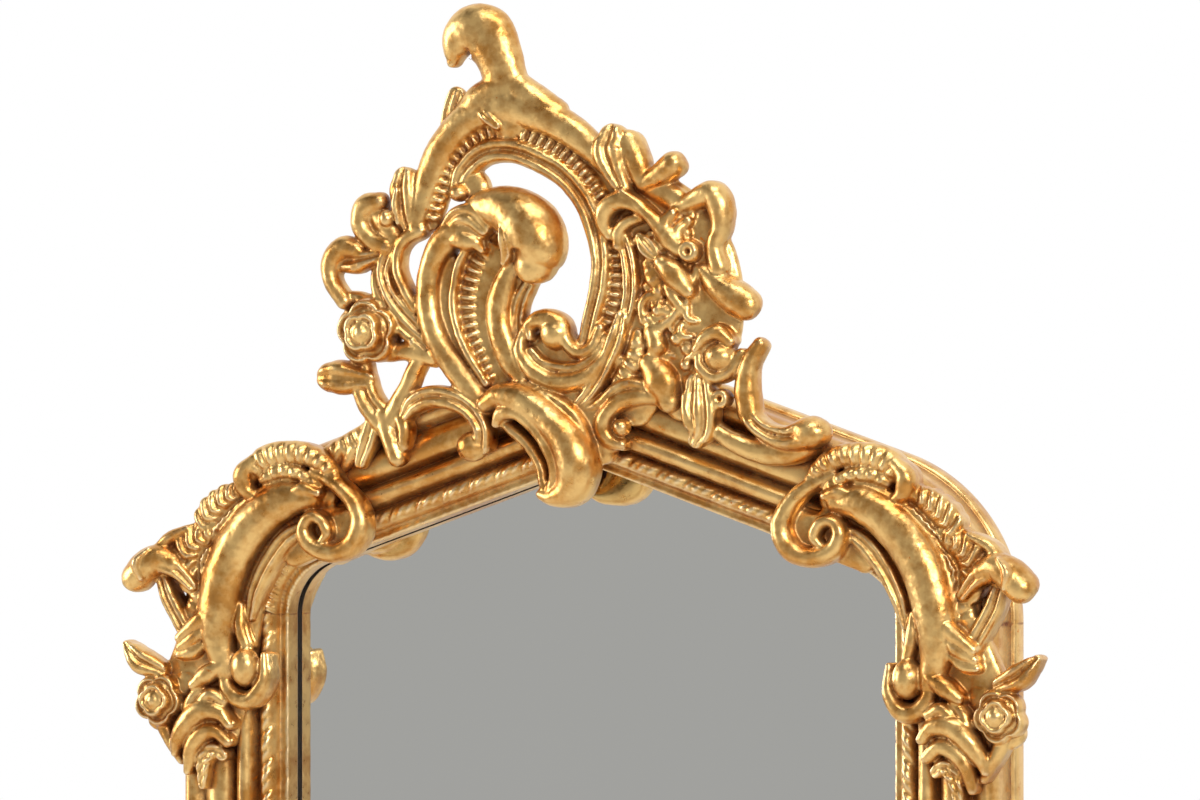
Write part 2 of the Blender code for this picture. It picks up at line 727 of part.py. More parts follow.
def build_carvings():
    carving("crest_carving", CREST_BANDS, CREST_BOSSES, CREST_DEPTH, CARVING_PLANE, crest_place)
    for side, label in ((-1, "left"), (1, "right")):
        place = shoulder_place(side)
        name = f"{label}_shoulder_carving"
        carving(name, SHOULDER_BANDS, SHOULDER_BOSSES, SHOULDER_DEPTH, CARVING_PLANE, place)

        def corner_place(x, z, side=side):
            return side * (HALF + x), FRAME_BOTTOM + z

        name = f"{label}_lower_carving"
        carving(name, CORNER_BANDS, CORNER_BOSSES, SMALL_CARVING_DEPTH, CARVING_PLANE, corner_place)

    def apron_place(x, z):
        return x, FRAME_BOTTOM + z

    carving("apron_carving", APRON_BANDS, APRON_BOSSES, SMALL_CARVING_DEPTH, CARVING_PLANE, apron_place)


# ---- Pivots -----------------------------------------------------------------------------


def build_pivots():
    post_inner = HALF + SIDE_GAP
    post_outer = post_inner + 2 * POST_BLOCK_HALF
    plate_outer = SEAT_X + FIT + PLATE_THICKNESS
    for side, label in ((-1, "left"), (1, "right")):
        axis = (side, 0, 0)
        centre = Vector((0, 0, PIVOT_HEIGHT))
        low_x, high_x = sorted((side * (SEAT_X + FIT), side * plate_outer))
        plate = add_object(
            f"{label}_pivot_plate",
            box_mesh(
                (low_x, -PLATE_WIDTH / 2, PIVOT_HEIGHT - PLATE_HEIGHT / 2),
                (high_x, PLATE_WIDTH / 2, PIVOT_HEIGHT + PLATE_HEIGHT / 2),
            ),
            BRASS,
        )
        holes = helper_collection(f"{label}_plate_holes")
        sizes = {"stud": (0, STUD_RADIUS + RUNNING)}
        for sign in (-1, 1):
            sizes[f"screw_{sign}"] = (sign * PLATE_SCREW_OFFSET, SCREW_RADIUS + FIT)
        for hole, (offset, radius) in sizes.items():
            start = centre + Vector((side * (SEAT_X - OVERRUN), 0, offset))
            cutter = rod_mesh(start, start + Vector((side * 3 * OVERRUN, 0, 0)), radius)
            add_object(f"{label}_plate_{hole}_hole", cutter, BRASS, helper_of=holes)
        combine(plate, holes, "DIFFERENCE")
        for sign, level in ((-1, "lower"), (1, "upper")):
            seat = (side * plate_outer, 0, PIVOT_HEIGHT + sign * PLATE_SCREW_OFFSET)
            screw = screw_mesh(seat, (-side, 0, 0), SCREW_LENGTH)
            add_object(f"{label}_{level}_plate_screw", screw, STEEL)

        ring = STUD_RADIUS + RUNNING
        spacer_profile = [
            (SPACER_RADIUS, plate_outer + FIT), (SPACER_RADIUS, post_inner - FIT),
            (ring, post_inner - FIT), (ring, plate_outer + FIT),
        ]
        add_object(f"{label}_spacer", turned_mesh(spacer_profile, centre, axis), BRASS)
        bush_profile = [
            (BUSH_RADIUS, post_inner + FIT), (BUSH_RADIUS, post_outer - FIT),
            (ring, post_outer - FIT), (ring, post_inner + FIT),
        ]
        add_object(f"{label}_bush", turned_mesh(bush_profile, centre, axis), BRASS)

        knob_base = post_outer + FIT
        pocket = knob_base + KNOB_LENGTH * 0.45
        knob_end = knob_base + KNOB_LENGTH
        socket = STUD_RADIUS + FIT
        turning = [(0.85, 0), (0.88, 0.09), (0.50, 0.18), (0.48, 0.32), (0.90, 0.45), (1.0, 0.61),
                   (0.80, 0.77), (0.35, 0.86), (0.25, 1.0)]
        knob_profile = [(0, pocket), (socket, pocket), (socket, knob_base)]
        knob_profile += [(KNOB_RADIUS * r, knob_base + KNOB_LENGTH * t) for r, t in turning]
        knob_profile.append((0, knob_end))
        pivot = (side * knob_base, 0, PIVOT_HEIGHT)
        knob = turned_mesh(knob_profile, centre, axis, 16, 8, 0.05)
        add_object(f"{label}_knob", knob, GILDING, pivot)
        stud = rod_mesh(
            centre + Vector((side * (HALF - STUD_REACH), 0, 0)),
            centre + Vector((side * (pocket - FIT), 0, 0)),
            STUD_RADIUS,
        )
        add_object(f"{label}_pivot_stud", stud, STEEL, pivot)


# ---- The stand --------------------------------------------------------------------------


def stacked_mesh(centre, levels):
    """A square moulded block from (height, half width, half depth) levels."""
    bm = bmesh.new()
    rings = []
    for z, across, deep in levels:
        corners = [(-across, -deep), (across, -deep), (across, deep), (-across, deep)]
        rings.append([Vector((centre + x, y, z)) for x, y in corners])
    bridge(bm, rings)
    return bm


def build_post(side, label):
    x = side * POST_X
    low = BASE_TOP + FIT
    block_low = PIVOT_HEIGHT - POST_BLOCK_HEIGHT / 2
    block_high = PIVOT_HEIGHT + POST_BLOCK_HEIGHT / 2
    shaft = block_low - low
    turning = [
        (1.25, 0.0), (1.25, 0.012), (0.95, 0.022), (0.80, 0.035), (1.15, 0.050), (1.15, 0.060),
        (0.72, 0.075), (0.85, 0.110), (1.20, 0.190), (1.05, 0.260), (0.70, 0.320), (0.98, 0.335),
        (0.98, 0.350), (0.66, 0.365), (0.78, 0.600), (0.92, 0.900), (1.15, 0.925), (1.15, 0.945),
        (0.90, 0.960), (0.90, 1.0),
    ]
    profile = [(0, low)]
    profile += [(POST_RADIUS * r, low + shaft * t) for r, t in turning]
    neck = POST_TOP - block_high
    profile += [(POST_RADIUS * 0.9, block_high), (POST_RADIUS * 0.75, block_high + neck * 0.4)]
    profile += [(POST_RADIUS * 1.1, POST_TOP - neck * 0.25), (POST_RADIUS * 1.1, POST_TOP), (0, POST_TOP)]
    post = add_object(f"{label}_post", turned_mesh(profile, (x, 0, 0), (0, 0, 1)), GILDING)
    block = POST_BLOCK_HALF
    soft = BLOCK_EDGE
    levels = [
        (block_low, block - soft, block - soft), (block_low + soft, block, block),
        (block_high - soft, block, block), (block_high, block - soft, block - soft),
    ]
    joined = helper_collection(f"{label}_post_block")
    add_object(f"{label}_pivot_block", stacked_mesh(x, levels), GILDING, helper_of=joined)
    combine(post, joined, "UNION")
    cuts = helper_collection(f"{label}_post_cuts")
    bore = rod_mesh(
        (x - POST_BLOCK_HALF * 1.5, 0, PIVOT_HEIGHT),
        (x + POST_BLOCK_HALF * 1.5, 0, PIVOT_HEIGHT),
        BUSH_RADIUS + FIT,
        12,
    )
    add_object(f"{label}_bush_bore", bore, GILDING, helper_of=cuts)
    combine(post, cuts, "DIFFERENCE")

    flame = [
        (0.55, 0.0), (0.95, 0.06), (0.55, 0.16), (0.45, 0.24), (0.95, 0.42), (1.0, 0.55), (0.75, 0.74),
        (0.35, 0.90),
    ]
    base = POST_TOP + FIT
    profile = [(0, base)]
    profile += [(POST_RADIUS * r, base + FINIAL_HEIGHT * t) for r, t in flame]
    profile.append((0, base + FINIAL_HEIGHT))
    add_object(f"{label}_post_finial", turned_mesh(profile, (x, 0, 0), (0, 0, 1)), GILDING)


def build_base_block(side, label):
    across, deep = BASE_WIDTH / 2, BASE_DEPTH / 2
    edge = BLOCK_EDGE
    levels = [
        (BASE_BOTTOM, across - edge, deep - edge), (BASE_BOTTOM + edge, across, deep),
        (BASE_TOP - 0.018, across, deep), (BASE_TOP - 0.012, across - edge, deep - edge),
        (BASE_TOP - 0.006, across - edge, deep - edge), (BASE_TOP, across - 2 * edge, deep - 3 * edge),
    ]
    x = side * POST_X
    block = add_object(f"{label}_base_block", stacked_mesh(x, levels), GILDING)
    cuts = helper_collection(f"{label}_base_cuts")
    bore = rod_mesh(
        (x - BASE_WIDTH, 0, STRETCHER_HEIGHT),
        (x + BASE_WIDTH, 0, STRETCHER_HEIGHT),
        BOLT_RADIUS + FIT,
    )
    add_object(f"{label}_bolt_bore", bore, GILDING, helper_of=cuts)
    combine(block, cuts, "DIFFERENCE")


def leg_mesh(side, front):
    """A cabriole leg: it leaves the block level, sweeps down and ends in a curled toe."""
    start = BASE_DEPTH / 2 + FIT
    run = LEG_REACH - start
    drop = STRETCHER_HEIGHT
    route = [
        (start, drop), (start + run * 0.14, drop), (start + run * 0.42, drop * 0.92),
        (start + run * 0.66, drop * 0.46),
        (start + run * 0.84, drop * 0.22), (LEG_REACH - 0.012, drop * 0.27),
    ]
    halves = [0.024, 0.024, 0.021, 0.016, 0.015, 0.009]
    widths = [1.0, 1.0, 0.95, 0.8, 0.95, 0.6]
    path = smooth_path(route)
    path[0] = (0, Vector(route[0]))
    bm = bmesh.new()
    rings = []
    for i, (place, point) in enumerate(path):
        after = path[min(i + 1, len(path) - 1)][1]
        before = path[max(i - 1, 0)][1]
        along = Vector((1, 0)) if i == 0 else (after - before).normalized()
        up = Vector((-along.y, along.x))
        half = value_along(halves, place)
        wide = LEG_HALF_WIDTH * value_along(widths, place)
        ring = []
        for k in range(LEG_SIDES):
            angle = 2 * math.pi * k / LEG_SIDES
            centre = point + up * half * math.sin(angle)
            x = side * POST_X + wide * math.cos(angle)
            ring.append(Vector((x, front * centre.x, centre.y)))
        rings.append(ring)
    bridge(bm, rings)
    return bm


def foot_place():
    """How far out the foot's pad stands."""
    start = BASE_DEPTH / 2 + FIT
    return start + (LEG_REACH - start) * 0.80


def build_legs(side, label):
    for front, word in ((-1, "front"), (1, "back")):
        name = f"{label}_{word}_leg"
        leg = add_object(name, leg_mesh(side, front), GILDING)
        centre = (side * POST_X, front * foot_place(), 0)
        low = GLIDE_HEIGHT + FIT
        top = STRETCHER_HEIGHT * 0.24
        profile = [
            (0, low), (PAD_RADIUS * 0.88, low), (PAD_RADIUS, low + 0.004), (PAD_RADIUS, low + 0.010),
            (PAD_RADIUS * 0.7, top), (0, top),
        ]
        joined = helper_collection(f"{name}_pad")
        add_object(f"{name}_pad_foot", turned_mesh(profile, centre, (0, 0, 1)), GILDING, helper_of=joined)
        combine(leg, joined, "UNION")
        glide = [(0, 0), (GLIDE_RADIUS, 0), (GLIDE_RADIUS, GLIDE_HEIGHT), (0, GLIDE_HEIGHT)]
        add_object(f"{label}_{word}_glide", turned_mesh(glide, centre, (0, 0, 1)), FELT)


def stretcher_mesh(stations=17):
    """The rail between the base blocks, rising to a low arch in the middle."""
    bm = bmesh.new()
    rings = []
    for i in range(stations):
        share = 2 * i / (stations - 1) - 1
        x = STRETCHER_END * share
        rise = STRETCHER_BOW * math.cos(share * math.pi / 2) ** 2
        scallop = STRETCHER_SCALLOP * math.cos(share * math.pi * 1.5) ** 2 * (1 - share**4)
        high = STRETCHER_HEIGHT + STRETCHER_END_HEIGHT / 2 + rise
        low = STRETCHER_HEIGHT - STRETCHER_END_HEIGHT / 2 + rise + scallop
        deep = STRETCHER_THICKNESS / 2
        edge = deep * 0.35
        outline = [
            (-deep, low + edge), (-deep + edge, low), (deep - edge, low), (deep, low + edge),
            (deep, high - edge), (deep - edge, high), (-deep + edge, high), (-deep, high - edge),
        ]
        rings.append([Vector((x, y, z)) for y, z in outline])
    bridge(bm, rings)
    return bm


SHELL_BANDS = {
    "left_scroll": {
        "points": [(-0.012, -0.010), (-0.034, 0.000), (-0.062, -0.006), (-0.084, -0.001)],
        "half": [0.009, 0.010, 0.008, 0.004],
        "deep": [0.9, 0.9, 0.8, 0.5],
    },
    "right_scroll": {
        "points": [(0.012, -0.010), (0.034, 0.000), (0.062, -0.006), (0.084, -0.001)],
        "half": [0.009, 0.010, 0.008, 0.004],
        "deep": [0.9, 0.9, 0.8, 0.5],
    },
}
SHELL_BOSSES = [(0.0, 0.0, 0.021, 1.1)]


def build_stretcher():
    rail = add_object("stretcher", stretcher_mesh(), GILDING)
    cuts = helper_collection("stretcher_cuts")
    head = BOLT_RADIUS * 2
    for side, label in ((-1, "left"), (1, "right")):
        axis = (side, 0, 0)
        nut_x = STRETCHER_END - BARREL_INSET
        tip = nut_x - BARREL_RADIUS - BARREL_WALL
        bore = rod_mesh(
            (side * (STRETCHER_END + OVERRUN), 0, STRETCHER_HEIGHT),
            (side * (tip - BLIND_END), 0, STRETCHER_HEIGHT),
            BOLT_RADIUS + FIT,
        )
        add_object(f"{label}_stretcher_bore", bore, GILDING, helper_of=cuts)
        deep = STRETCHER_THICKNESS
        cross = rod_mesh(
            (side * nut_x, -deep, STRETCHER_HEIGHT),
            (side * nut_x, deep, STRETCHER_HEIGHT),
            BARREL_RADIUS + FIT,
        )
        add_object(f"{label}_nut_bore", cross, GILDING, helper_of=cuts)
        nut_mesh = rod_mesh(
            (side * nut_x, -deep * 0.45, STRETCHER_HEIGHT),
            (side * nut_x, deep * 0.45, STRETCHER_HEIGHT),
            BARREL_RADIUS,
        )
        nut = add_object(f"{label}_barrel_nut", nut_mesh, STEEL)
        nut_cuts = helper_collection(f"{label}_nut_cuts")
        thread = rod_mesh(
            (side * (nut_x - 2 * OVERRUN), 0, STRETCHER_HEIGHT),
            (side * (nut_x + 2 * OVERRUN), 0, STRETCHER_HEIGHT),
            BOLT_RADIUS + FIT,
        )
        add_object(f"{label}_nut_thread", thread, STEEL, helper_of=nut_cuts)
        combine(nut, nut_cuts, "DIFFERENCE")
        face = POST_X + BASE_WIDTH / 2 + FIT
        profile = [
            (0, tip), (BOLT_RADIUS, tip), (BOLT_RADIUS, face), (head, face),
            (head, face + BOLT_HEAD_HEIGHT * 0.5), (head * 0.6, face + BOLT_HEAD_HEIGHT),
            (0, face + BOLT_HEAD_HEIGHT),
        ]
        bolt = turned_mesh(profile, (0, 0, STRETCHER_HEIGHT), axis, 10)
        add_object(f"{label}_stretcher_bolt", bolt, BRASS)
    combine(rail, cuts, "DIFFERENCE")

    def shell_place(x, z):
        return x, STRETCHER_HEIGHT + STRETCHER_BOW + z

    plane = -STRETCHER_THICKNESS / 2 - FIT
    carving("stretcher_shell", SHELL_BANDS, SHELL_BOSSES, SMALL_CARVING_DEPTH * 0.6, plane, shell_place)


def build_stand():
    for side, label in ((-1, "left"), (1, "right")):
        build_post(side, label)
        build_base_block(side, label)
        build_legs(side, label)
    build_stretcher()


build_frame()
build_glazing()
build_turn_buttons()
build_carvings()
build_pivots()
build_stand()
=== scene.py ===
import math
import random

import bmesh
import bpy
import numpy as np
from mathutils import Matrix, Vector


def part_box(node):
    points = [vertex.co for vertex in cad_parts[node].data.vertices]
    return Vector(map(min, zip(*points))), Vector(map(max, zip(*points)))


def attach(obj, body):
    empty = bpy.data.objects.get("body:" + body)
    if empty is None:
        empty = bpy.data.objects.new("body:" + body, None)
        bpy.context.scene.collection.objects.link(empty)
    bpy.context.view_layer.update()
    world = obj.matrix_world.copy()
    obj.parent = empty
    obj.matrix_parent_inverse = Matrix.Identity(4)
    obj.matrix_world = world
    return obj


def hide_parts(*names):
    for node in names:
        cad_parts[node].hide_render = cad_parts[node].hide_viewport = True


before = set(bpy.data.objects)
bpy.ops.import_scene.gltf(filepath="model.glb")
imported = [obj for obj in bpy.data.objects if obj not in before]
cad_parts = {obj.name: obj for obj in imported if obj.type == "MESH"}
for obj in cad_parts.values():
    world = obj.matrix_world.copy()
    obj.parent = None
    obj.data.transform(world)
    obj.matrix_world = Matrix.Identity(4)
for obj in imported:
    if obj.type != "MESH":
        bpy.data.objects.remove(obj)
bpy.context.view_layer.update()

# Gilt rococo cheval mirror: the carving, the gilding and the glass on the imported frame.
# Everything is in metres; sizes in the dictionaries below are millimetres where a name ends in Mm.
mm = 0.001
pivotHeightMm = 950.0  # of the tilt axis
railHeightMm = 140.0  # of the stretcher's middle, and of the legs where they leave the block

railLow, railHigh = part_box("top_rail")
stileLow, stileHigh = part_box("left_stile")
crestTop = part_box("crest_carving")[1][2]
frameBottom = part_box("bottom_rail")[0][2]
shoulderHeight = stileHigh[2]


def linearColour(hexCode):
    # sRGB hex to the linear values the shader wants
    channels = [int(hexCode[i : i + 2], 16) / 255 for i in (1, 3, 5)]
    linear = [c / 12.92 if c <= 0.04045 else ((c + 0.055) / 1.055) ** 2.4 for c in channels]
    return (*linear, 1.0)


def addNode(tree, kind, settings=None, **inputs):
    # one node with its settings; an input takes a value, or a socket to link from
    made = tree.nodes.new(kind)
    for key, value in (settings or {}).items():
        setattr(made, key, value)
    for key, value in inputs.items():
        numbered = key[0] == "i" and key[1:].isdigit()
        target = made.inputs[int(key[1:]) if numbered else key.replace("_", " ")]
        if isinstance(value, bpy.types.NodeSocket):
            tree.links.new(value, target)
        else:
            target.default_value = value
    return made


def mixColours(tree, factor, low, high):
    # blends two colours, each a hex value or a socket
    ends = [linearColour(end) if isinstance(end, str) else end for end in (low, high)]
    mix = addNode(tree, "ShaderNodeMix", {"data_type": "RGBA"}, Factor=factor, i6=ends[0], i7=ends[1])
    return mix.outputs[2]


def newMaterial(name):
    material = bpy.data.materials.new(name)
    material.use_nodes = True
    tree = material.node_tree
    shader = tree.nodes["Principled BSDF"]
    return material, tree, shader


studio = {
    "azimuth": 25.0,  # the camera stands to the mirror's right, degrees
    "distance": 5.5,
    "height": crestTop - 0.309,  # level with the arch
    "lens": 212.0,
    "sideways": -0.007,  # how far right of the frame's centre the camera aims
    "white": "#FFFFFF",
    "frontGrey": "#A9A8A6",
    "floor": "#E9E7E3",
}


def buildStudio():
    scene = bpy.context.scene
    scene.view_settings.view_transform = "Standard"  # keeps the leaf's warm highlights from greying
    turn = math.radians(studio["azimuth"])
    right = Vector((math.cos(turn), math.sin(turn), 0))
    aim = Vector((0, 0, studio["height"])) - right * studio["sideways"]
    away = Vector((math.sin(turn), -math.cos(turn), 0)) * studio["distance"]
    lensData = bpy.data.cameras.new("camera")
    lensData.lens = studio["lens"]
    lensData.clip_end = 60
    camera = bpy.data.objects.new("camera", lensData)
    camera.location = aim + away
    camera.rotation_euler = (math.pi / 2, 0, turn)
    scene.collection.objects.link(camera)
    scene.camera = camera

    # white behind the mirror, mid grey where the glass looks, a dimmer ceiling
    world = bpy.data.worlds.new("studio")
    scene.world = world
    world.use_nodes = True
    tree = world.node_tree
    tree.nodes.clear()
    place = addNode(tree, "ShaderNodeTexCoord")
    axes = addNode(tree, "ShaderNodeSeparateXYZ", Vector=place.outputs["Generated"])
    behind = addNode(
        tree, "ShaderNodeMapRange", {"interpolation_type": "SMOOTHSTEP"},
        Value=axes.outputs["Y"], From_Min=-0.25, From_Max=0.25,
    )
    ceiling = addNode(
        tree, "ShaderNodeMapRange", {"interpolation_type": "SMOOTHSTEP"},
        Value=axes.outputs["Z"], From_Min=0.35, From_Max=0.85,
    )
    front = mixColours(tree, ceiling.outputs["Result"], studio["frontGrey"], "#5E5C59")
    whole = mixColours(tree, behind.outputs["Result"], front, studio["white"])
    glow = addNode(tree, "ShaderNodeBackground", Color=whole, Strength=1.0)
    addNode(tree, "ShaderNodeOutputWorld", Surface=glow.outputs["Background"])

    lights = {
        # name: (place, aim, width, height, watts)
        "keyRight": ((2.6, -2.2, 2.7), (0, 0, 1.4), 1.5, 1.2, 70),
        "fillLeft": ((-3.0, -1.2, 1.9), (0, 0, 1.4), 1.2, 1.8, 45),
        "overHead": ((0.6, -0.9, 3.6), (0, 0, 1.2), 1.6, 0.8, 22),
    }
    for name, (spot, look, wide, high, watts) in lights.items():
        lampData = bpy.data.lights.new(name, "AREA")
        lampData.shape = "RECTANGLE"
        lampData.size, lampData.size_y = wide, high
        lampData.energy = watts
        lamp = bpy.data.objects.new(name, lampData)
        lamp.location = spot
        lamp.rotation_euler = (Vector(look) - Vector(spot)).to_track_quat("-Z", "Y").to_euler()
        scene.collection.objects.link(lamp)

    material, tree, shader = newMaterial("painted studio floor")
    shader.inputs["Base Color"].default_value = linearColour(studio["floor"])
    shader.inputs["Roughness"].default_value = 0.75
    mesh = bpy.data.meshes.new("studioFloor")
    half = 9.0
    corners = [(-half, -half, 0), (half, -half, 0), (half, half, 0), (-half, half, 0)]
    mesh.from_pydata([(x, y, z - 0.0005) for x, y, z in corners], [], [(0, 1, 2, 3)])
    mesh.materials.append(material)
    floor = bpy.data.objects.new("studioFloor", mesh)
    scene.collection.objects.link(floor)
    print("studio: camera, lights and floor are set")


gilding = {
    "leaf": "#EFC47C",
    "leafWarm": "#CC9045",
    "burnishedHighlight": "#FFE9BC",
    "umber": "#6E3612",
    "bole": "#E07A08",
    "roughness": 0.31,
}


def makeGilding(name, cavityReach=0.010, stipple=0.0, highlightAndBurnish=1.0):
    # Water-gilded composition ornament: leaf made paler on the high places, partly burnishing and partly a
    # painted highlight, umber toning in the hollows that is also painted shade, and orange bole where the
    # leaf has rubbed through.
    material, tree, shader = newMaterial(name)
    place = addNode(tree, "ShaderNodeTexCoord").outputs["Object"]
    geometry = addNode(tree, "ShaderNodeNewGeometry")
    cloud = addNode(tree, "ShaderNodeTexNoise", Vector=place, Scale=22.0, Detail=4.0, Roughness=0.6)
    patch = addNode(tree, "ShaderNodeTexNoise", Vector=place, Scale=95.0, Detail=3.0, Roughness=0.65)
    grain = addNode(tree, "ShaderNodeTexNoise", Vector=place, Scale=420.0, Detail=5.0, Roughness=0.7)
    both = addNode(
        tree, "ShaderNodeMath", {"operation": "MULTIPLY_ADD"}, i0=patch.outputs["Fac"], i1=0.6,
        i2=cloud.outputs["Fac"],
    )
    tone = addNode(tree, "ShaderNodeMapRange", Value=both.outputs["Value"], From_Min=0.66, From_Max=0.90)
    leaf = mixColours(tree, tone.outputs["Result"], gilding["leafWarm"], gilding["leaf"])

    # high places made paler: partly burnishing by handling, partly a painted highlight on the ridges
    ridge = addNode(
        tree, "ShaderNodeMapRange", Value=geometry.outputs["Pointiness"], From_Min=0.515, From_Max=0.57,
        To_Max=highlightAndBurnish,
    )
    bright = mixColours(tree, ridge.outputs["Result"], leaf, gilding["burnishedHighlight"])

    # hollows: a short-range occlusion, and the surface's own concave creases; the darkening there is partly
    # umber toning, partly painted shade
    shade = addNode(tree, "ShaderNodeAmbientOcclusion", {"samples": 6}, Distance=cavityReach)
    occlusionShade = addNode(tree, "ShaderNodeMapRange", Value=shade.outputs["AO"], From_Min=0.86, From_Max=0.34)
    crease = addNode(
        tree, "ShaderNodeMapRange", Value=geometry.outputs["Pointiness"], From_Min=0.485, From_Max=0.44,
    )
    deep = addNode(
        tree, "ShaderNodeMath", {"operation": "MAXIMUM"}, i0=occlusionShade.outputs["Result"],
        i1=crease.outputs["Result"],
    )
    worn = addNode(
        tree, "ShaderNodeMapRange", Value=patch.outputs["Fac"], From_Min=0.30, From_Max=0.62,
        To_Min=0.55, To_Max=1.0,
    )
    glazeAndShade = addNode(
        tree, "ShaderNodeMath", {"operation": "MULTIPLY", "use_clamp": True},
        i0=deep.outputs["Value"], i1=worn.outputs["Result"],
    )
    stain = addNode(
        tree, "ShaderNodeMapRange", Value=grain.outputs["Fac"], From_Min=0.52, From_Max=0.66,
        To_Max=0.75,
    )
    glazeTint = mixColours(tree, stain.outputs["Result"], gilding["umber"], gilding["bole"])
    # painted shade with umber toning: the leaf goes towards umber and bole where the occlusion and crease
    # mask is strong
    agedAndShaded = mixColours(tree, glazeAndShade.outputs["Value"], bright, glazeTint)

    # bole shows in a few small rubbed spots
    rubbed = addNode(tree, "ShaderNodeTexNoise", Vector=place, Scale=60.0, Detail=5.0, Roughness=0.75)
    spot = addNode(tree, "ShaderNodeMapRange", Value=rubbed.outputs["Fac"], From_Min=0.665, From_Max=0.70)
    final = mixColours(tree, spot.outputs["Result"], agedAndShaded, gilding["bole"])
    tree.links.new(final, shader.inputs["Base Color"])

    gloss = addNode(
        tree, "ShaderNodeMapRange", Value=patch.outputs["Fac"], From_Min=0.3, From_Max=0.7,
        To_Min=gilding["roughness"] - 0.05, To_Max=gilding["roughness"] + 0.09,
    )
    dull = addNode(
        tree, "ShaderNodeMath", {"operation": "MULTIPLY_ADD"},
        i0=glazeAndShade.outputs["Value"], i1=0.28, i2=gloss.outputs["Result"],
    )
    tree.links.new(dull.outputs["Value"], shader.inputs["Roughness"])
    metal = addNode(tree, "ShaderNodeMapRange", Value=glazeAndShade.outputs["Value"], To_Min=1.0, To_Max=0.55)
    tree.links.new(metal.outputs["Result"], shader.inputs["Metallic"])
    shader.inputs["Coat Weight"].default_value = 0.25  # shellac size over the leaf
    shader.inputs["Coat Roughness"].default_value = 0.28

    wrinkle = addNode(tree, "ShaderNodeBump", Height=cloud.outputs["Fac"], Strength=0.10, Distance=0.006)
    dent = addNode(
        tree, "ShaderNodeBump", Height=patch.outputs["Fac"], Strength=0.16, Distance=0.002,
        Normal=wrinkle.outputs["Normal"],
    )
    fine = addNode(
        tree, "ShaderNodeBump", Height=grain.outputs["Fac"], Strength=0.10 + stipple, Distance=0.0006,
        Normal=dent.outputs["Normal"],
    )
    tree.links.new(fine.outputs["Normal"], shader.inputs["Normal"])
    return material


def makePiece(name, points, faces, material, body, replaced=()):
    # a mesh piece from arrays, in the row frame, riding on one body
    mesh = bpy.data.meshes.new(name)
    mesh.from_pydata([tuple(p) for p in points], [], [tuple(int(i) for i in f) for f in faces])
    mesh.validate()
    mesh.materials.append(material)
    piece = bpy.data.objects.new(name, mesh)
    bpy.context.scene.collection.objects.link(piece)
    fixNormals(mesh)
    mesh.shade_smooth()
    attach(piece, body)
    if replaced:
        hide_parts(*replaced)
    return piece


def fixNormals(mesh):
    work = bmesh.new()
    work.from_mesh(mesh)
    bmesh.ops.recalc_face_normals(work, faces=work.faces[:])
    work.to_mesh(mesh)
    work.free()


def smoothCurve(points, count):
    # a Catmull-Rom curve through rows of numbers, sampled evenly along its first two columns
    rows = np.array(points, float)
    padded = np.vstack([2 * rows[0] - rows[1], rows, 2 * rows[-1] - rows[-2]])
    fine = []
    for i in range(len(rows) - 1):
        a, b, c, d = padded[i : i + 4]
        t = np.linspace(0, 1, 24, endpoint=False)[:, None]
        fine.append(
            0.5 * (2 * b + (c - a) * t + (2 * a - 5 * b + 4 * c - d) * t**2 + (3 * b - a - 3 * c + d) * t**3),
        )
    fine = np.vstack([*fine, rows[-1:]])
    steps = np.hypot(*np.diff(fine[:, :2], axis=0).T)
    along = np.concatenate([[0], np.cumsum(steps)])
    even = np.linspace(0, along[-1], count)
    return np.column_stack([np.interp(even, along, column) for column in fine.T]), even


# Places across a carved strand, from one edge (-1) to the other (1): each swell is
# (middle, half width, height) and may add (rib pitch in mm, rib depth, slant).
swells = {
    "round": [(0, 1, 1)],
    "flatRound": [(0, 1, 0.8), (-0.45, 0.55, 0.93), (0.45, 0.55, 0.93)],
    "twoLobes": [(-0.5, 0.5, 0.95), (0.5, 0.5, 1), (0, 0.7, 0.55)],
    "threeLobes": [(-0.68, 0.32, 0.85), (0, 0.36, 1), (0.68, 0.32, 0.85), (0, 1, 0.5)],
    "ribbed": [(0, 1, 1, 9.0, 0.34)],
    "toothed": [(0, 1, 0.25), (0, 0.92, 1, 7.4, 1.0)],
    "creased": [(-0.42, 0.58, 1), (0.52, 0.48, 0.9), (0, 0.6, 0.45)],
    "leaf": [(-0.5, 0.5, 0.95, 9.0, 0.45, 1.2), (0.5, 0.5, 0.95, 9.0, 0.45, -1.2), (0, 0.14, 0.9),
        (0, 1, 0.4)],
    "legBody": [(0, 1, 1), (-0.82, 0.2, 0.72), (0.82, 0.2, 0.72)],
    "fringe": [(0.25, 0.85, 1, 8.5, 0.5, 0.5), (-0.86, 0.16, 0.75), (0, 1, 0.35)],
}


def riseAcross(section, across, alongMm, halfMm):
    # height of a strand over its edges, as a share of its rise, on a grid of places
    height = np.zeros(np.broadcast(across, alongMm).shape)
    for middle, width, share, *ribs in swells[section]:
        swell = share * np.sqrt(np.clip(1 - ((across - middle) / width) ** 2, 0, 1))
        if ribs:
            pitch, depth, *slant = ribs
            lean = (slant[0] if slant else 0) * halfMm * np.abs(across)
            wave = np.abs(np.sin(math.pi * (alongMm + lean) / pitch))
            swell = swell * (1 - depth * (1 - wave**0.85))
        height = np.maximum(height, swell)
    return height


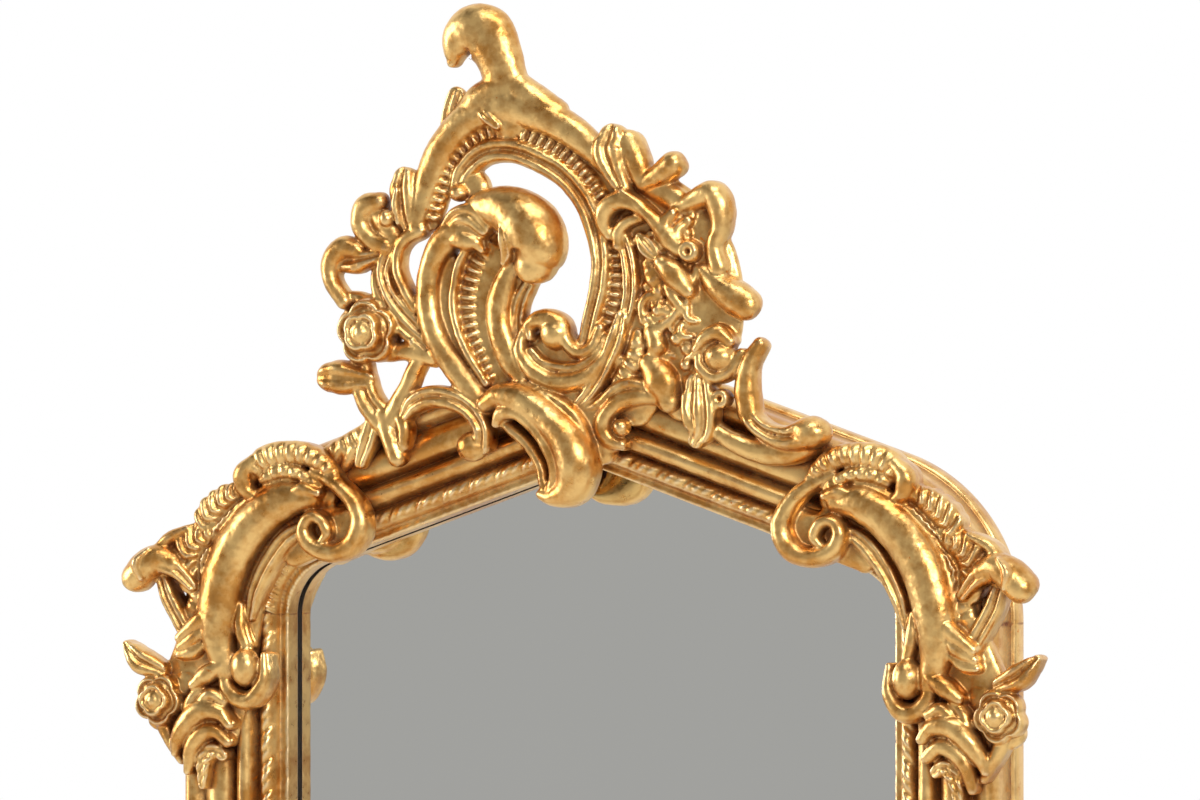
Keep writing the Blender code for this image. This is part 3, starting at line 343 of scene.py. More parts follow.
def addStrand(work, toWorld, rows, section="round", under=None, scallop=(0, 0)):
    # a carved strand laid along rows of (x, z, forward, half width, rise), all in mm;
    # it reaches back by under, or to a plane behind the frame's front
    length = sum(math.dist(a[:2], b[:2]) for a, b in zip(rows, rows[1:]))
    path, alongMm = smoothCurve(rows, max(6, int(length / 1.1)))
    x, z, forward, half, rise = path.T
    half = np.maximum(half, 0.3)
    heading = np.gradient(path[:, :2], axis=0)
    heading /= np.maximum(np.linalg.norm(heading, axis=1), 1e-6)[:, None]
    count = int(np.clip(np.max(half) * 2.2, 14, 46))
    across = -np.cos(np.linspace(0, math.pi, count))  # closer together near the edges
    front = riseAcross(section, across[None], alongMm[:, None], half[:, None])
    pitch, depth = scallop
    edge = 1 + depth * (np.abs(np.sin(math.pi * alongMm / pitch)) - 0.5) if pitch else np.ones(len(x))
    sideways = half[:, None] * edge[:, None] * across[None]
    outward = rise[:, None] * front
    back = across[::-1][1:-1]
    backSide = half[:, None] * edge[:, None] * back[None]
    depth = forward[:, None] + 8 if under is None else under
    backOut = np.broadcast_to(-depth * np.sqrt(1 - back[None] ** 2) ** 0.6, backSide.shape)
    u = np.hstack([sideways, backSide])
    v = np.hstack([outward, backOut])
    px = x[:, None] - heading[:, 1:2] * u
    pz = z[:, None] + heading[:, 0:1] * u
    pf = forward[:, None] + v
    rings = [[work.verts.new(toWorld(*p)) for p in zip(*ring)] for ring in zip(px, pz, pf)]
    for a, b in zip(rings, rings[1:]):
        for i in range(len(a)):
            j = (i + 1) % len(a)
            work.faces.new((a[i], b[i], b[j], a[j]))
    # rounded ends: rings that shrink along a quarter circle, then a cap
    for ring, at, step in ((rings[0], 0, -1), (rings[-1], -1, 1)):
        middle = Vector(toWorld(x[at], z[at], forward[at] + rise[at] * 0.3))
        reach = min(half[at], 1.6 * rise[at]) * step
        tipX, tipZ = x[at] + heading[at, 0] * reach, z[at] + heading[at, 1] * reach
        tip = Vector(toWorld(tipX, tipZ, forward[at] + rise[at] * 0.3))
        last = ring
        for share in (0.3, 0.58, 0.8, 0.94):
            centre = middle.lerp(tip, share)
            size = math.sqrt(1 - share**2)
            inner = [work.verts.new(centre + (vert.co - middle) * size) for vert in ring]
            for i in range(len(ring)):
                j = (i + 1) % len(ring)
                work.faces.new((last[i], last[j], inner[j], inner[i]))
            last = inner
        work.faces.new(last)


def addBall(work, toWorld, x, z, forward, wide, high, deep, turn=0):
    # a carved berry or bulb: half sizes in mm, turned about the line of sight by degrees
    angle = math.radians(turn)
    made = bmesh.ops.create_icosphere(work, subdivisions=3, radius=1.0)["verts"]
    for vert in made:
        a, b, c = vert.co
        u = a * wide
        v = b * high
        vert.co = toWorld(
            x + u * math.cos(angle) - v * math.sin(angle),
            z + u * math.sin(angle) + v * math.cos(angle), forward + c * deep
        )


def addEye(work, toWorld, x, z, forward, radius):
    # a berry with a drilled middle: a ring and a small floor inside it
    rows = []
    for angle in np.linspace(0, 2 * math.pi, 13):
        ringX, ringZ = x + radius * 0.58 * math.cos(angle), z + radius * 0.58 * math.sin(angle)
        rows.append((ringX, ringZ, forward, radius * 0.42, radius * 0.7))
    addStrand(work, toWorld, rows, "round", under=radius * 1.4)
    addBall(work, toWorld, x, z, forward - radius * 0.5, radius * 0.5, radius * 0.5, radius * 0.5)


def addRose(work, toWorld, x, z, forward, radius, turn=0):
    # an open rose: a bud and two rows of cupped petals
    addBall(work, toWorld, x, z, forward + radius * 0.45, radius * 0.26, radius * 0.30, radius * 0.3)
    for count, reach, size, lift in ((5, 0.68, 0.40, 0.05), (4, 0.36, 0.30, 0.34)):
        for i in range(count):
            angle = math.radians(turn) + 2 * math.pi * (i + lift) / count
            along = np.linspace(-0.95, 0.95, 7)
            rows = []
            for bend in along:
                a = angle + bend * size / reach
                swing = 1 - 0.12 * bend**2
                rows.append((
                    x + radius * reach * swing * math.cos(a), z + radius * reach * swing * math.sin(a),
                    forward + radius * lift, radius * 0.17 * (1.25 - 0.5 * bend**2), radius * 0.34,
                ))
            addStrand(work, toWorld, rows, "creased", under=radius * 0.4)


def carve(name, parts, toWorld, material, body, voxelMm=1.2, replaced=(), smoothing=5):
    # joins strands, berries and roses into one skin, as gesso does, and softens the creases
    work = bmesh.new()
    for part in parts:
        kind, *rest = part
        if kind == "ball":
            addBall(work, toWorld, *rest)
        elif kind == "rose":
            addRose(work, toWorld, *rest)
        elif kind == "eye":
            addEye(work, toWorld, *rest)
        else:
            rows, *options = rest
            addStrand(work, toWorld, rows, kind, **(options[0] if options else {}))
    bmesh.ops.recalc_face_normals(work, faces=work.faces[:])
    mesh = bpy.data.meshes.new(f"{name}Rough")
    work.to_mesh(mesh)
    work.free()
    rough = bpy.data.objects.new(f"{name}Rough", mesh)
    bpy.context.scene.collection.objects.link(rough)
    skin = rough.modifiers.new("skin", "REMESH")
    skin.mode = "VOXEL"
    skin.voxel_size = voxelMm * mm
    soften = rough.modifiers.new("soften", "SMOOTH")
    soften.factor = 0.5
    soften.iterations = smoothing
    for size, depth in ((18.0, 1.2), (5.5, 0.45)):
        # gesso and old leaf never lie quite even
        lumps = bpy.data.textures.new(f"{name}Lumps", "CLOUDS")
        lumps.noise_scale = size * mm
        uneven = rough.modifiers.new("uneven", "DISPLACE")
        uneven.texture = lumps
        uneven.texture_coords = "GLOBAL"
        uneven.strength = depth * mm
        uneven.mid_level = 0.5
    graph = bpy.context.evaluated_depsgraph_get()
    final = bpy.data.meshes.new_from_object(rough.evaluated_get(graph))
    bpy.data.objects.remove(rough)
    final.name = name
    final.materials.clear()
    final.materials.append(material)
    piece = bpy.data.objects.new(name, final)
    bpy.context.scene.collection.objects.link(piece)
    final.shade_smooth()
    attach(piece, body)
    if replaced:
        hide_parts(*replaced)
    print(f"{name}: {len(final.polygons)} faces")
    return piece


moulding = {
    "widthMm": 90.0,
    "flangeMm": 2.7,  # how far the back edge stands out past the face
    "shoulderRadiusMm": 133.0,
    "stepMm": 1.5,
    # smooth runs of (inward, depth) in mm, from the back outer corner over the face to the lip;
    # a depth below 0 is forward
    "flange": [(2.7, 25), (-1.4, 24.4), (-2.7, 21), (-2.7, 12), (-1.2, 8.4), (1.8, 7)],
    "flank": [(1.8, 7), (1.8, -12)],
    "outerRim": [(1.8, -12), (2.4, -18), (4.6, -23.6), (8.2, -27.2), (12, -27.8)],
    "slope": [(12, -27.8), (15.5, -26.2), (18.5, -23.0), (21.5, -19.8)],
    "hump": [(21.5, -19.8), (24, -23.8), (30, -28.0), (37, -29.2), (43, -27.0), (46.6, -22), (48.4, -17)],
    "astragal": [(48.4, -17), (50.6, -21.6), (53, -27), (58, -29.8), (63, -27.2), (65.6, -22),
        (67.4, -15.2)],
    "leafRun": [(67.4, -15.2), (69.4, -18.4), (73, -22.0), (77, -22.2), (80.4, -18.2), (82.8, -11)],
    "lip": [(82.8, -11), (84.4, -10.0), (88.2, -10.2), (89.8, -8.6), (90, 0), (90, 6)],
    "rebate": [(90, 6), (80, 6), (80, 25)],
    "stippled": ("flank", "slope"),
    "leafPitchMm": 27.0,
    "leafDepthMm": 4.8,
}


def mouldingSection():
    # the whole section as rows of (inward, depth, leaf weight), and which run each row starts
    rows, runs = [], []
    for name in ("flange", "flank", "outerRim", "slope", "hump", "astragal", "leafRun", "lip", "rebate"):
        points = moulding[name]
        if len(points) <= 3:
            fine = np.array(points, float)
        else:
            length = sum(math.dist(a, b) for a, b in zip(points, points[1:]))
            fine = smoothCurve(points, max(5, int(length / 1.15)))[0]
        for u, depth in fine[:-1]:
            leaf = max(0.0, 1 - ((u - 76.0) / 7.6) ** 2) if name == "leafRun" else 0.0
            if name == "lip" and u < 90 and depth < -8:
                leaf = 0.18
            rows.append((u, depth, leaf))
            runs.append(name)
    rows.append((*moulding["rebate"][-1], 0.0))
    return np.array(rows), runs


def leafPattern(along, inward, phase=0.0):
    # overlapping leaves that lean along the moulding: a swelling blade with three veins
    pitch = moulding["leafPitchMm"]
    lean = (inward - 67.0) * 0.85
    place = (along + lean + phase) / pitch
    part = place - np.floor(place)
    blade = np.sin(math.pi * part) ** 0.6 * (1 - 0.35 * part)
    veins = np.abs(np.sin(3 * math.pi * (part + 0.05))) ** 0.8
    return blade * (0.62 + 0.38 * veins)


def wobble(x, z, scale, seed):
    # a few slow sines, the unevenness of gesso laid by hand
    a = np.sin(x * 2 * math.pi / scale + seed) * np.cos(z * 2 * math.pi / (scale * 1.37) + 2.1 * seed)
    b = np.sin((x + z) * 2 * math.pi / (scale * 0.61) + 4.3 * seed)
    return 0.6 * a + 0.4 * b


def sweepMoulding(name, stations, body, replaced, seed=0.0):
    # stations: rows of (x, z, inward x, inward z) in metres, already close together
    section, runs = mouldingSection()
    stations = np.array(stations)
    steps = np.hypot(*np.diff(stations[:, :2], axis=0).T)
    alongMm = np.concatenate([[0], np.cumsum(steps)]) / mm
    u, depth, leaf = section.T
    lift = leafPattern(alongMm[:, None], u[None], seed * 7) * leaf[None] * moulding["leafDepthMm"]
    plain = ((depth < 5) & (u < 88)).astype(float)
    x = stations[:, 0:1] + stations[:, 2:3] * u[None] * mm
    z = stations[:, 1:2] + stations[:, 3:4] * u[None] * mm
    sway = wobble(x / mm, z / mm, 47.0, seed) * 0.28 * plain[None]
    y = (depth[None] - lift + 0.45 * leaf[None] * moulding["leafDepthMm"] + sway) * mm
    count, wide = x.shape
    points = np.stack([x, y, z], axis=-1).reshape(-1, 3)
    faces, kinds = [], []
    for i in range(count - 1):
        for j in range(wide):
            k = (j + 1) % wide
            faces.append((i * wide + j, (i + 1) * wide + j, (i + 1) * wide + k, i * wide + k))
            run = runs[j] if j < wide - 1 else "back"
            kinds.append(1 if run in moulding["stippled"] else 2 if run in ("rebate", "back") else 0)
    # flat mitre faces with corners of their own, so that shading stops at the joint
    points = np.vstack([points, points[:wide], points[-wide:]])
    faces.append(tuple(range(count * wide, (count + 1) * wide)))
    faces.append(tuple(reversed(range((count + 1) * wide, (count + 2) * wide))))
    kinds += [2, 2]
    piece = makePiece(name, points, faces, materials["gilding"], body, replaced)
    piece.data.materials.append(materials["stippledGilding"])
    piece.data.materials.append(materials["nearBlackBack"])
    piece.data.polygons.foreach_set("material_index", kinds)
    print(f"{name}: {len(faces)} faces")
    return piece


def straightStations(start, end, inwardStart, inwardEnd):
    start, end = np.array(start), np.array(end)
    count = max(2, int(np.linalg.norm(end - start) / mm / moulding["stepMm"]))
    share = np.linspace(0, 1, count + 1)[:, None]
    a, b = np.array(inwardStart), np.array(inwardEnd)
    return np.hstack([start + (end - start) * share, a + (b - a) * share])


def archStations():
    # from the left shoulder over the point of the arch to the right one
    radius = moulding["shoulderRadiusMm"] * mm
    flange = moulding["flangeMm"] * mm
    across = halfWidth - radius
    apex = railHigh[2] - flange
    for _ in range(3):
        drop = apex - shoulderHeight
        slope = math.atan2(drop, across) - math.asin(radius / math.hypot(across, drop))
        apex = railHigh[2] - flange / math.cos(slope)
    turn = math.pi / 2 - slope
    count = int(radius * turn / mm / moulding["stepMm"])
    rows = []
    for angle in np.linspace(0, turn, count + 1):
        out = np.array((math.cos(angle), math.sin(angle)))
        rows.append((*(np.array((across, shoulderHeight)) + radius * out), *-out))
    last = rows[-1]
    run = straightStations(last[:2], (0, apex), last[2:], (0, -1 / math.cos(slope)))
    right = np.vstack([np.array(rows[:-1]), run])
    left = right[::-1] * np.array((-1, 1, -1, 1))
    return np.vstack([left[::-1], right[::-1][1:]])


def buildRails():
    low = frameBottom + moulding["flangeMm"] * mm
    for side, label in ((-1, "left"), (1, "right")):
        rows = straightStations(
            (side * halfWidth, shoulderHeight), (side * halfWidth, low), (-side, 0), (-side, 1)
        )
        sweepMoulding(f"{label}StileMoulding", rows, "mirror", (f"{label}_stile",), 1.3 + side)
    rows = straightStations((-halfWidth, low), (halfWidth, low), (1, 1), (-1, 1))
    sweepMoulding("bottomRailMoulding", rows, "mirror", ("bottom_rail",), 3.1)
    sweepMoulding("archMoulding", archStations(), "mirror", ("top_rail",), 2.2)


halfWidth = -stileLow[0] - moulding["flangeMm"] * mm
frontPlane = railLow[1]  # the carvings are planted on the front of the rails


def makeNearBlackBack():
    # near-black streaked brown on the backs, the mitre faces and inside the rebate
    material, tree, shader = newMaterial("near-black streaked brown on pine")
    place = addNode(tree, "ShaderNodeTexCoord").outputs["Object"]
    streak = addNode(tree, "ShaderNodeMapping", Vector=place, Scale=(60.0, 60.0, 4.0))
    grain = addNode(tree, "ShaderNodeTexNoise", Vector=streak.outputs["Vector"], Scale=2.0, Detail=6.0)
    tint = mixColours(tree, grain.outputs["Fac"], "#1E140C", "#3A2817")
    tree.links.new(tint, shader.inputs["Base Color"])
    shader.inputs["Roughness"].default_value = 0.65
    bump = addNode(tree, "ShaderNodeBump", Height=grain.outputs["Fac"], Strength=0.25, Distance=0.0008)
    tree.links.new(bump.outputs["Normal"], shader.inputs["Normal"])
    return material


def makeSilver():
    # silvered float glass: a clean reflection, a little grey-green from the glass over the silver
    material, tree, shader = newMaterial("silvered float glass")
    shader.inputs["Metallic"].default_value = 1.0
    place = addNode(tree, "ShaderNodeTexCoord").outputs["Object"]
    haze = addNode(tree, "ShaderNodeTexNoise", Vector=place, Scale=3.0, Detail=2.0)
    tint = mixColours(tree, haze.outputs["Fac"], "#F1F2F0", "#F6F7F5")
    tree.links.new(tint, shader.inputs["Base Color"])
    shader.inputs["Roughness"].default_value = 0.015
    return material


materials = {
    "gilding": makeGilding("water gilding on gesso"),
    "stippledGilding": makeGilding("punched water gilding on gesso", stipple=0.35),
    "flatGilding": makeGilding("matt water gilding on gesso", highlightAndBurnish=0.0),
    "nearBlackBack": makeNearBlackBack(),
    "silver": makeSilver(),
}


glass = {"insetMm": 82.0, "thicknessMm": 0.6}


def buildGlass():
    # the silver lies on the back of the pane, so the pane is drawn at that depth:
    # the near-black rebate shows as a dark line between the lip and its reflection
    inset = glass["insetMm"] * mm
    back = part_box("mirror_glass")[1][1]
    arch = archStations()
    loop = [tuple(row[:2] + row[2:] * inset) for row in arch]
    low = frameBottom + moulding["flangeMm"] * mm + inset
    loop += [(halfWidth - inset, low), (-halfWidth + inset, low)]
    count = len(loop)
    points = [(x, back - glass["thicknessMm"] * mm, z) for x, z in loop] + [(x, back, z) for x, z in loop]
    faces = [tuple(range(count)), tuple(reversed(range(count, 2 * count)))]
    faces += [(i, (i + 1) % count, (i + 1) % count + count, i + count) for i in range(count)]
    pane = makePiece(
        "silveredPane", points, faces, materials["silver"], "mirror",
        ("mirror_glass",),
    )
    pane.data.shade_flat()
    print("silvered pane is in its rebate")


crestCarving = {
    "finialHook": ("round", [(-52, -89, 3, 21.5, 11), (-55, -72, 4, 19.5, 12), (-58, -57, 5, 18, 13),
        (-63, -42, 5, 19, 15), (-72, -27, 5, 23, 16), (-83, -22, 6, 22, 16), (-94, -27, 7, 16.5, 13),
        (-99, -37, 8, 10.5, 9), (-101, -45, 7, 5.5, 6)], {"under": 12}),
    "finialSaddleLeft": ("round", [(-94, -89, 4, 10, 10), (-78, -78, 5, 15, 12), (-63, -68, 6, 13, 12)]),
    "finialSaddleRight": ("round", [(-14, -86, 4, 10.5, 11), (-32, -78, 5, 14, 12),
        (-49, -65, 5, 12.5, 11)]),
    "finialSlit": ("creased", [(-75, -83, 13, 2.5, 4), (-68, -89, 14, 5, 6), (-60, -96, 13, 3.5, 4)],
        {"under": 8}),
    "stub": ("threeLobes", [(-108, -100, 0, 8, 5), (-105, -83, 0, 8, 6), (-101, -72, 0, 8, 6)],
        {"under": 8}),
    "ringBand": ("round", [(-134, -178, 5, 6.5, 9), (-129, -157, 5, 10, 10), (-120, -130, 5, 12.5, 11),
        (-106, -107, 5, 13, 12), (-86, -89, 5, 14, 12), (-60, -80, 6, 15, 12), (-33, -86, 6, 14, 12),
        (-8, -96, 6, 13, 12), (14, -111, 6, 11.5, 11), (28, -128, 5, 6.5, 8)], {"under": 12}),
    "ringTeeth": ("toothed", [(-121, -170, 3, 6.5, 7), (-115, -149, 3, 9, 8), (-107, -128, 3, 10, 8),
        (-92, -111, 3, 9, 8), (-71, -101, 3, 8, 8), (-49, -101, 3, 8, 8), (-24, -111, 3, 9, 8),
        (0, -126, 3, 9, 8), (19, -145, 3, 8, 8), (30, -161, 3, 6.5, 7)], {"under": 10}),
    "ringInner": ("twoLobes", [(-97, -145, 3, 7.5, 9), (-91, -130, 3, 9, 9), (-74, -117, 3, 10, 10),
        (-51, -115, 3, 10, 10), (-27, -123, 3, 10, 10), (-5, -136, 3, 10, 10), (12, -155, 3, 10, 10),
        (22, -178, 3, 10, 10), (26, -201, 3, 9, 10), (24, -223, 3, 9, 10), (18, -245, 3, 8, 9),
        (13, -264, 3, 7.5, 8)], {"under": 12}),
    "ringBall": ("ball", -94, -148, 10, 8, 7, 10),
    "sideTeeth": ("toothed", [(31, -158, 3, 6.5, 6), (37, -180, 3, 7.5, 7), (38, -208, 3, 7.5, 7),
        (36, -231, 3, 7.5, 7), (29, -253, 3, 6.5, 6)], {"under": 10}),
    "sideRails": ("twoLobes", [(44, -181, 4, 6.5, 8), (50, -201, 4, 7.5, 9), (52, -225, 4, 7.5, 9),
        (47, -247, 4, 6.5, 8), (39, -265, 4, 5.5, 7)], {"under": 12}),
    "scrollOuter": ("round", [(-77, -181, 12, 8, 9), (-90, -178, 12, 10.5, 11),
        (-105, -184, 11, 11.5, 12), (-116, -201, 10, 10.5, 12), (-121, -223, 9, 10.5, 12),
        (-119, -245, 9, 10.5, 12), (-110, -267, 9, 10.5, 12), (-97, -285, 9, 10.5, 11),
        (-83, -302, 9, 10, 10), (-72, -315, 8, 7.5, 8)]),
    "scrollHollow": ("round", [(-106, -201, 6, 10, 5), (-111, -231, 6, 10.5, 5),
        (-104, -259, 6, 10.5, 5), (-88, -282, 6, 10, 5), (-75, -301, 6, 7.5, 4)]),
    "scrollRim": ("round", [(-85, -189, 12, 3.5, 6), (-94, -206, 12, 4, 6), (-98, -231, 12, 4, 6),
        (-94, -254, 12, 4, 6), (-83, -276, 12, 4, 6), (-70, -296, 11, 3.5, 5)]),
    "scrollTeeth": ("toothed", [(-73, -192, 7, 7.5, 6), (-83, -209, 7, 9, 7), (-88, -231, 7, 9, 7),
        (-86, -254, 7, 9, 7), (-77, -276, 7, 8, 7), (-67, -295, 7, 6.5, 6)]),
    "scrollSecond": ("round", [(-48, -206, 10, 7.5, 9), (-56, -222, 10, 10, 10),
        (-60, -240, 10, 10.5, 10), (-57, -260, 10, 10.5, 10), (-49, -279, 10, 10, 9),
        (-40, -293, 9, 6.5, 8)]),
    "scrollStrips": ("threeLobes", [(-36, -215, 4, 7.5, 7), (-45, -231, 4, 9, 8), (-48, -251, 4, 9, 8),
        (-44, -270, 4, 8, 7), (-36, -285, 4, 5.5, 6)]),
    "ringCorner": ("round", [(-96, -135, 2, 11.5, 8), (-85, -142, 2, 12.5, 8), (-80, -152, 2, 10.5, 8)],
        {"under": 10}),
    "scrollGround": ("round", [(-64, -197, 3, 11.5, 6), (-75, -223, 3, 15.5, 6),
        (-77, -251, 3, 16.5, 6), (-69, -278, 3, 15, 6), (-57, -298, 3, 11.5, 6)], {"under": 10}),
    "sideGround": ("round", [(50, -150, 1, 13, 5), (59, -178, 1, 16.5, 5), (64, -208, 1, 17, 5),
        (62, -235, 1, 17, 5), (54, -266, 1, 15, 5)], {"under": 10}),
    "lowerGround": ("round", [(-34, -273, 2, 13, 6), (-13, -271, 2, 16.5, 6), (7, -274, 2, 15, 6),
        (26, -259, 2, 10, 6)], {"under": 10}),
    "bulbGround": ("round", [(-93, -181, 0, 10, 4), (-74, -192, 0, 15, 5), (-55, -203, 0, 15, 5),
        (-40, -219, 0, 10, 4)], {"under": 10}),
    "toothFloor": ("round", [(-127, -173, 0, 8, 3), (-120, -145, 0, 10.5, 3), (-108, -122, 0, 12.5, 3),
        (-88, -103, 0, 13, 3), (-56, -96, 0, 13, 3), (-25, -105, 0, 13, 3), (2, -122, 0, 12.5, 3),
        (24, -145, 0, 11.5, 3), (32, -170, 0, 10, 3), (37, -201, 0, 10, 3), (36, -231, 0, 10, 3),
        (27, -259, 0, 10, 3)], {"under": 10}),
    "bulb": ("round", [(-88, -164, 12, 7.5, 6), (-70, -159, 13, 14, 13), (-50, -162, 14, 19.5, 19),
        (-32, -174, 14, 24, 23), (-24, -190, 13, 23, 23), (-27, -203, 12, 17, 17)], {"under": 16}),
    "bulbFoldTop": ("creased", [(-104, -175, 14, 5, 6), (-92, -166, 17, 8, 7), (-80, -166, 18, 9, 7),
        (-70, -175, 18, 6.5, 5)]),
    "bulbFoldLow": ("round", [(-102, -184, 15, 5, 6), (-89, -184, 17, 8, 8), (-77, -187, 17, 6.5, 7),
        (-72, -192, 15, 3.5, 5)]),
    "bulbSlit": ("creased", [(-50, -170, 28, 1.5, 3), (-46, -183, 29, 5, 6), (-46, -195, 26, 5, 5),
        (-50, -203, 22, 2.5, 4)], {"under": 10}),
    "voluteBulb": ("ball", -11, -257, 10, 13, 13, 13),
    "voluteRim": ("round", [(-32, -260, 10, 3.5, 7), (-33, -251, 10, 5.5, 8), (-21, -246, 10, 8, 10),
        (-8, -250, 10, 8, 10), (-2, -263, 9, 6.5, 9), (8, -272, 8, 5.5, 8), (20, -268, 7, 5.5, 8),
        (26, -254, 6, 5, 7)]),
    "voluteSmile": ("round", [(-32, -271, 9, 3.5, 5), (-19, -281, 10, 4, 6), (6, -284, 10, 4, 6),
        (24, -274, 9, 4, 6), (32, -260, 7, 3.5, 5)]),
    "voluteOuter": ("round", [(-38, -254, 9, 3.5, 6), (-41, -270, 10, 5.5, 8), (-31, -285, 11, 7.5, 9),
        (-12, -295, 11, 8, 9), (12, -293, 11, 7.5, 9), (27, -281, 10, 5.5, 8), (34, -265, 8, 4, 6)]),
    "tongueEdge": ("round", [(-39, -296, 12, 3.5, 6), (-17, -305, 13, 5, 8), (3, -316, 14, 5, 9),
        (15, -330, 15, 5, 9), (21, -348, 15, 5, 9), (20, -366, 14, 4, 8)], {"under": 18}),
    "tongueRoot": ("round", [(-28, -302, 6, 8, 6), (-6, -309, 6, 13, 7), (15, -318, 6, 15, 8),
        (26, -332, 6, 13, 8), (27, -349, 5, 10, 7)], {"under": 18}),
    "tongue": ("round", [(-69, -312, 14, 6.5, 9), (-56, -306, 15, 10, 12), (-35, -310, 16, 12.5, 14),
        (-14, -323, 17, 14, 16), (5, -342, 18, 16.5, 18), (11, -362, 17, 17, 18),
        (4, -377, 15, 15, 15), (-11, -384, 13, 8, 11), (-21, -382, 12, 5, 8)], {"under": 20}),
    "tongueInner": ("round", [(-58, -327, 19, 4, 5), (-53, -319, 20, 5.5, 7), (-38, -320, 21, 5.5, 7),
        (-21, -333, 22, 5.5, 7), (-10, -350, 22, 5.5, 7), (-7, -366, 20, 5, 6), (-12, -378, 17, 4, 5)],
        {"under": 22}),
    "tongueRim": ("round", [(-59, -324, 12, 4, 6), (-47, -332, 12, 5, 8), (-32, -345, 12, 5, 8),
        (-22, -360, 12, 5, 8), (-19, -374, 12, 5, 8), (-15, -381, 12, 4, 7)], {"under": 16}),
    "earTop": ("creased", [(-138, -178, 5, 5, 7), (-141, -163, 6, 10, 10), (-143, -146, 6, 12.5, 12),
        (-142, -136, 6, 10, 11)], {"under": 12}),
    "earTopRib": ("round", [(-146, -170, 12, 2.5, 4), (-148, -157, 14, 3.5, 5),
        (-146, -145, 15, 2.5, 4)], {"under": 10}),
    "earSideRim": ("round", [(-165, -154, 7, 8, 10), (-177, -158, 7, 10, 11), (-181, -170, 7, 9, 10),
        (-174, -182, 7, 8, 9), (-159, -189, 7, 7.5, 9)], {"under": 12}),
    "earSideMass": ("round", [(-172, -159, 4, 8, 8), (-162, -169, 5, 10, 9), (-152, -183, 5, 8, 8)],
        {"under": 10}),
    "earSideBead": ("ball", -156, -167, 13, 6, 7, 7),
    "petalRim": ("round", [(-186, -191, 7, 8, 10), (-197, -190, 7, 10, 11), (-207, -201, 7, 9, 11),
        (-206, -216, 7, 7.5, 10), (-196, -231, 7, 7.5, 9)], {"under": 12}),
    "petalMass": ("creased", [(-199, -201, 4, 8, 8), (-184, -200, 6, 10.5, 10),
        (-173, -198, 6, 6.5, 9), (-162, -195, 5, 5.5, 8)], {"under": 12}),
    "petalRoot": ("round", [(-198, -229, 4, 5.5, 7), (-188, -228, 3, 5, 7), (-177, -233, 4, 7.5, 8)],
        {"under": 10}),
    "stemInner": ("round", [(-129, -177, 6, 6.5, 9), (-141, -183, 6, 6.5, 9), (-148, -194, 6, 5.5, 9),
        (-148, -209, 6, 5.5, 9), (-142, -223, 6, 5.5, 9), (-134, -236, 6, 5.5, 8)], {"under": 12}),
    "stemOuter": ("creased", [(-145, -184, 5, 5, 8), (-156, -194, 5, 6.5, 9), (-161, -209, 5, 6.5, 9),
        (-156, -225, 5, 6.5, 9), (-146, -239, 5, 7.5, 9), (-135, -250, 5, 7.5, 8)], {"under": 12}),
    "stemColumn": ("round", [(-165, -197, 2, 4, 6), (-171, -212, 2, 4, 6), (-168, -226, 3, 5, 7),
        (-161, -237, 4, 6.5, 8)], {"under": 10}),
    "rosette": ("rose", -173, -256, 8, 30, 20),
    "roseBack": ("round", [(-195, -248, 0, 11.5, 6), (-178, -254, 0, 19.5, 8), (-161, -262, 0, 15, 7)],
        {"under": 12}),
    "sprayUpper": ("creased", [(-155, -243, 4, 7.5, 9), (-143, -253, 5, 8, 9), (-129, -264, 5, 8, 9),
        (-120, -271, 5, 8, 8)], {"under": 12}),
    "sprayLower": ("round", [(-159, -273, 3, 6.5, 8), (-145, -271, 4, 7.5, 9), (-131, -273, 5, 8, 9),
        (-118, -276, 5, 8, 9)], {"under": 12}),
    "sprayBead": ("ball", -135, -264, 9, 4, 5, 6),
    "linkRight": ("round", [(-125, -271, 4, 5.5, 8), (-135, -285, 4, 7.5, 9), (-141, -299, 5, 8, 9),
        (-148, -311, 5, 9, 9), (-155, -324, 5, 10, 9)], {"under": 12}),
    "linkLeft": ("creased", [(-183, -278, 3, 9, 9), (-180, -293, 4, 10.5, 10),
        (-175, -309, 4, 11.5, 10), (-163, -324, 4, 11.5, 10)], {"under": 12}),
    "finger": ("flatRound", [(-176, -293, 5, 8, 10), (-190, -292, 6, 12.5, 13),
        (-200, -291, 6, 14, 14), (-207, -291, 6, 12.5, 13)], {"under": 12}),
    "dripMain": ("round", [(-162, -323, 5, 9, 9), (-156, -338, 6, 8, 10), (-150, -354, 6, 8, 10)],
        {"under": 14}),
    "dripLeft": ("creased", [(-171, -324, 3, 7.5, 8), (-176, -340, 3, 7.5, 8), (-183, -358, 3, 5.5, 7)],
        {"under": 14}),
    "dripRight": ("round", [(-150, -318, 6, 5, 7), (-143, -330, 7, 6.5, 8), (-143, -344, 7, 5, 7)],
        {"under": 14}),
    "foot": ("ribbed", [(-172, -330, 2, 8, 8), (-187, -341, 2, 10, 8), (-203, -348, 1, 9, 8),
        (-217, -354, 0, 6.5, 6), (-228, -363, -2, 4, 5)], {"under": 16}),
    "footLeafA": ("round", [(-188, -346, 5, 4, 5), (-194, -355, 3, 5, 5), (-201, -363, 0, 3.5, 4)],
        {"under": 14}),
    "footLeafB": ("round", [(-202, -349, 4, 4, 5), (-208, -358, 2, 4, 5)], {"under": 14}),
    "leafScroll": ("creased", [(-140, -320, 9, 5, 7), (-134, -313, 10, 7.5, 8), (-120, -307, 11, 9, 9),
        (-101, -308, 12, 9, 9), (-84, -316, 12, 8, 9), (-73, -330, 12, 7.5, 9),
        (-73, -344, 11, 7.5, 8)], {"under": 20}),
    "leafScrollTip": ("ball", -83, -345, 9, 13, 12, 13),
    "rightGround": ("round", [(53, -138, 0, 10, 6), (74, -159, 0, 24.5, 7), (96, -192, 0, 34.5, 8),
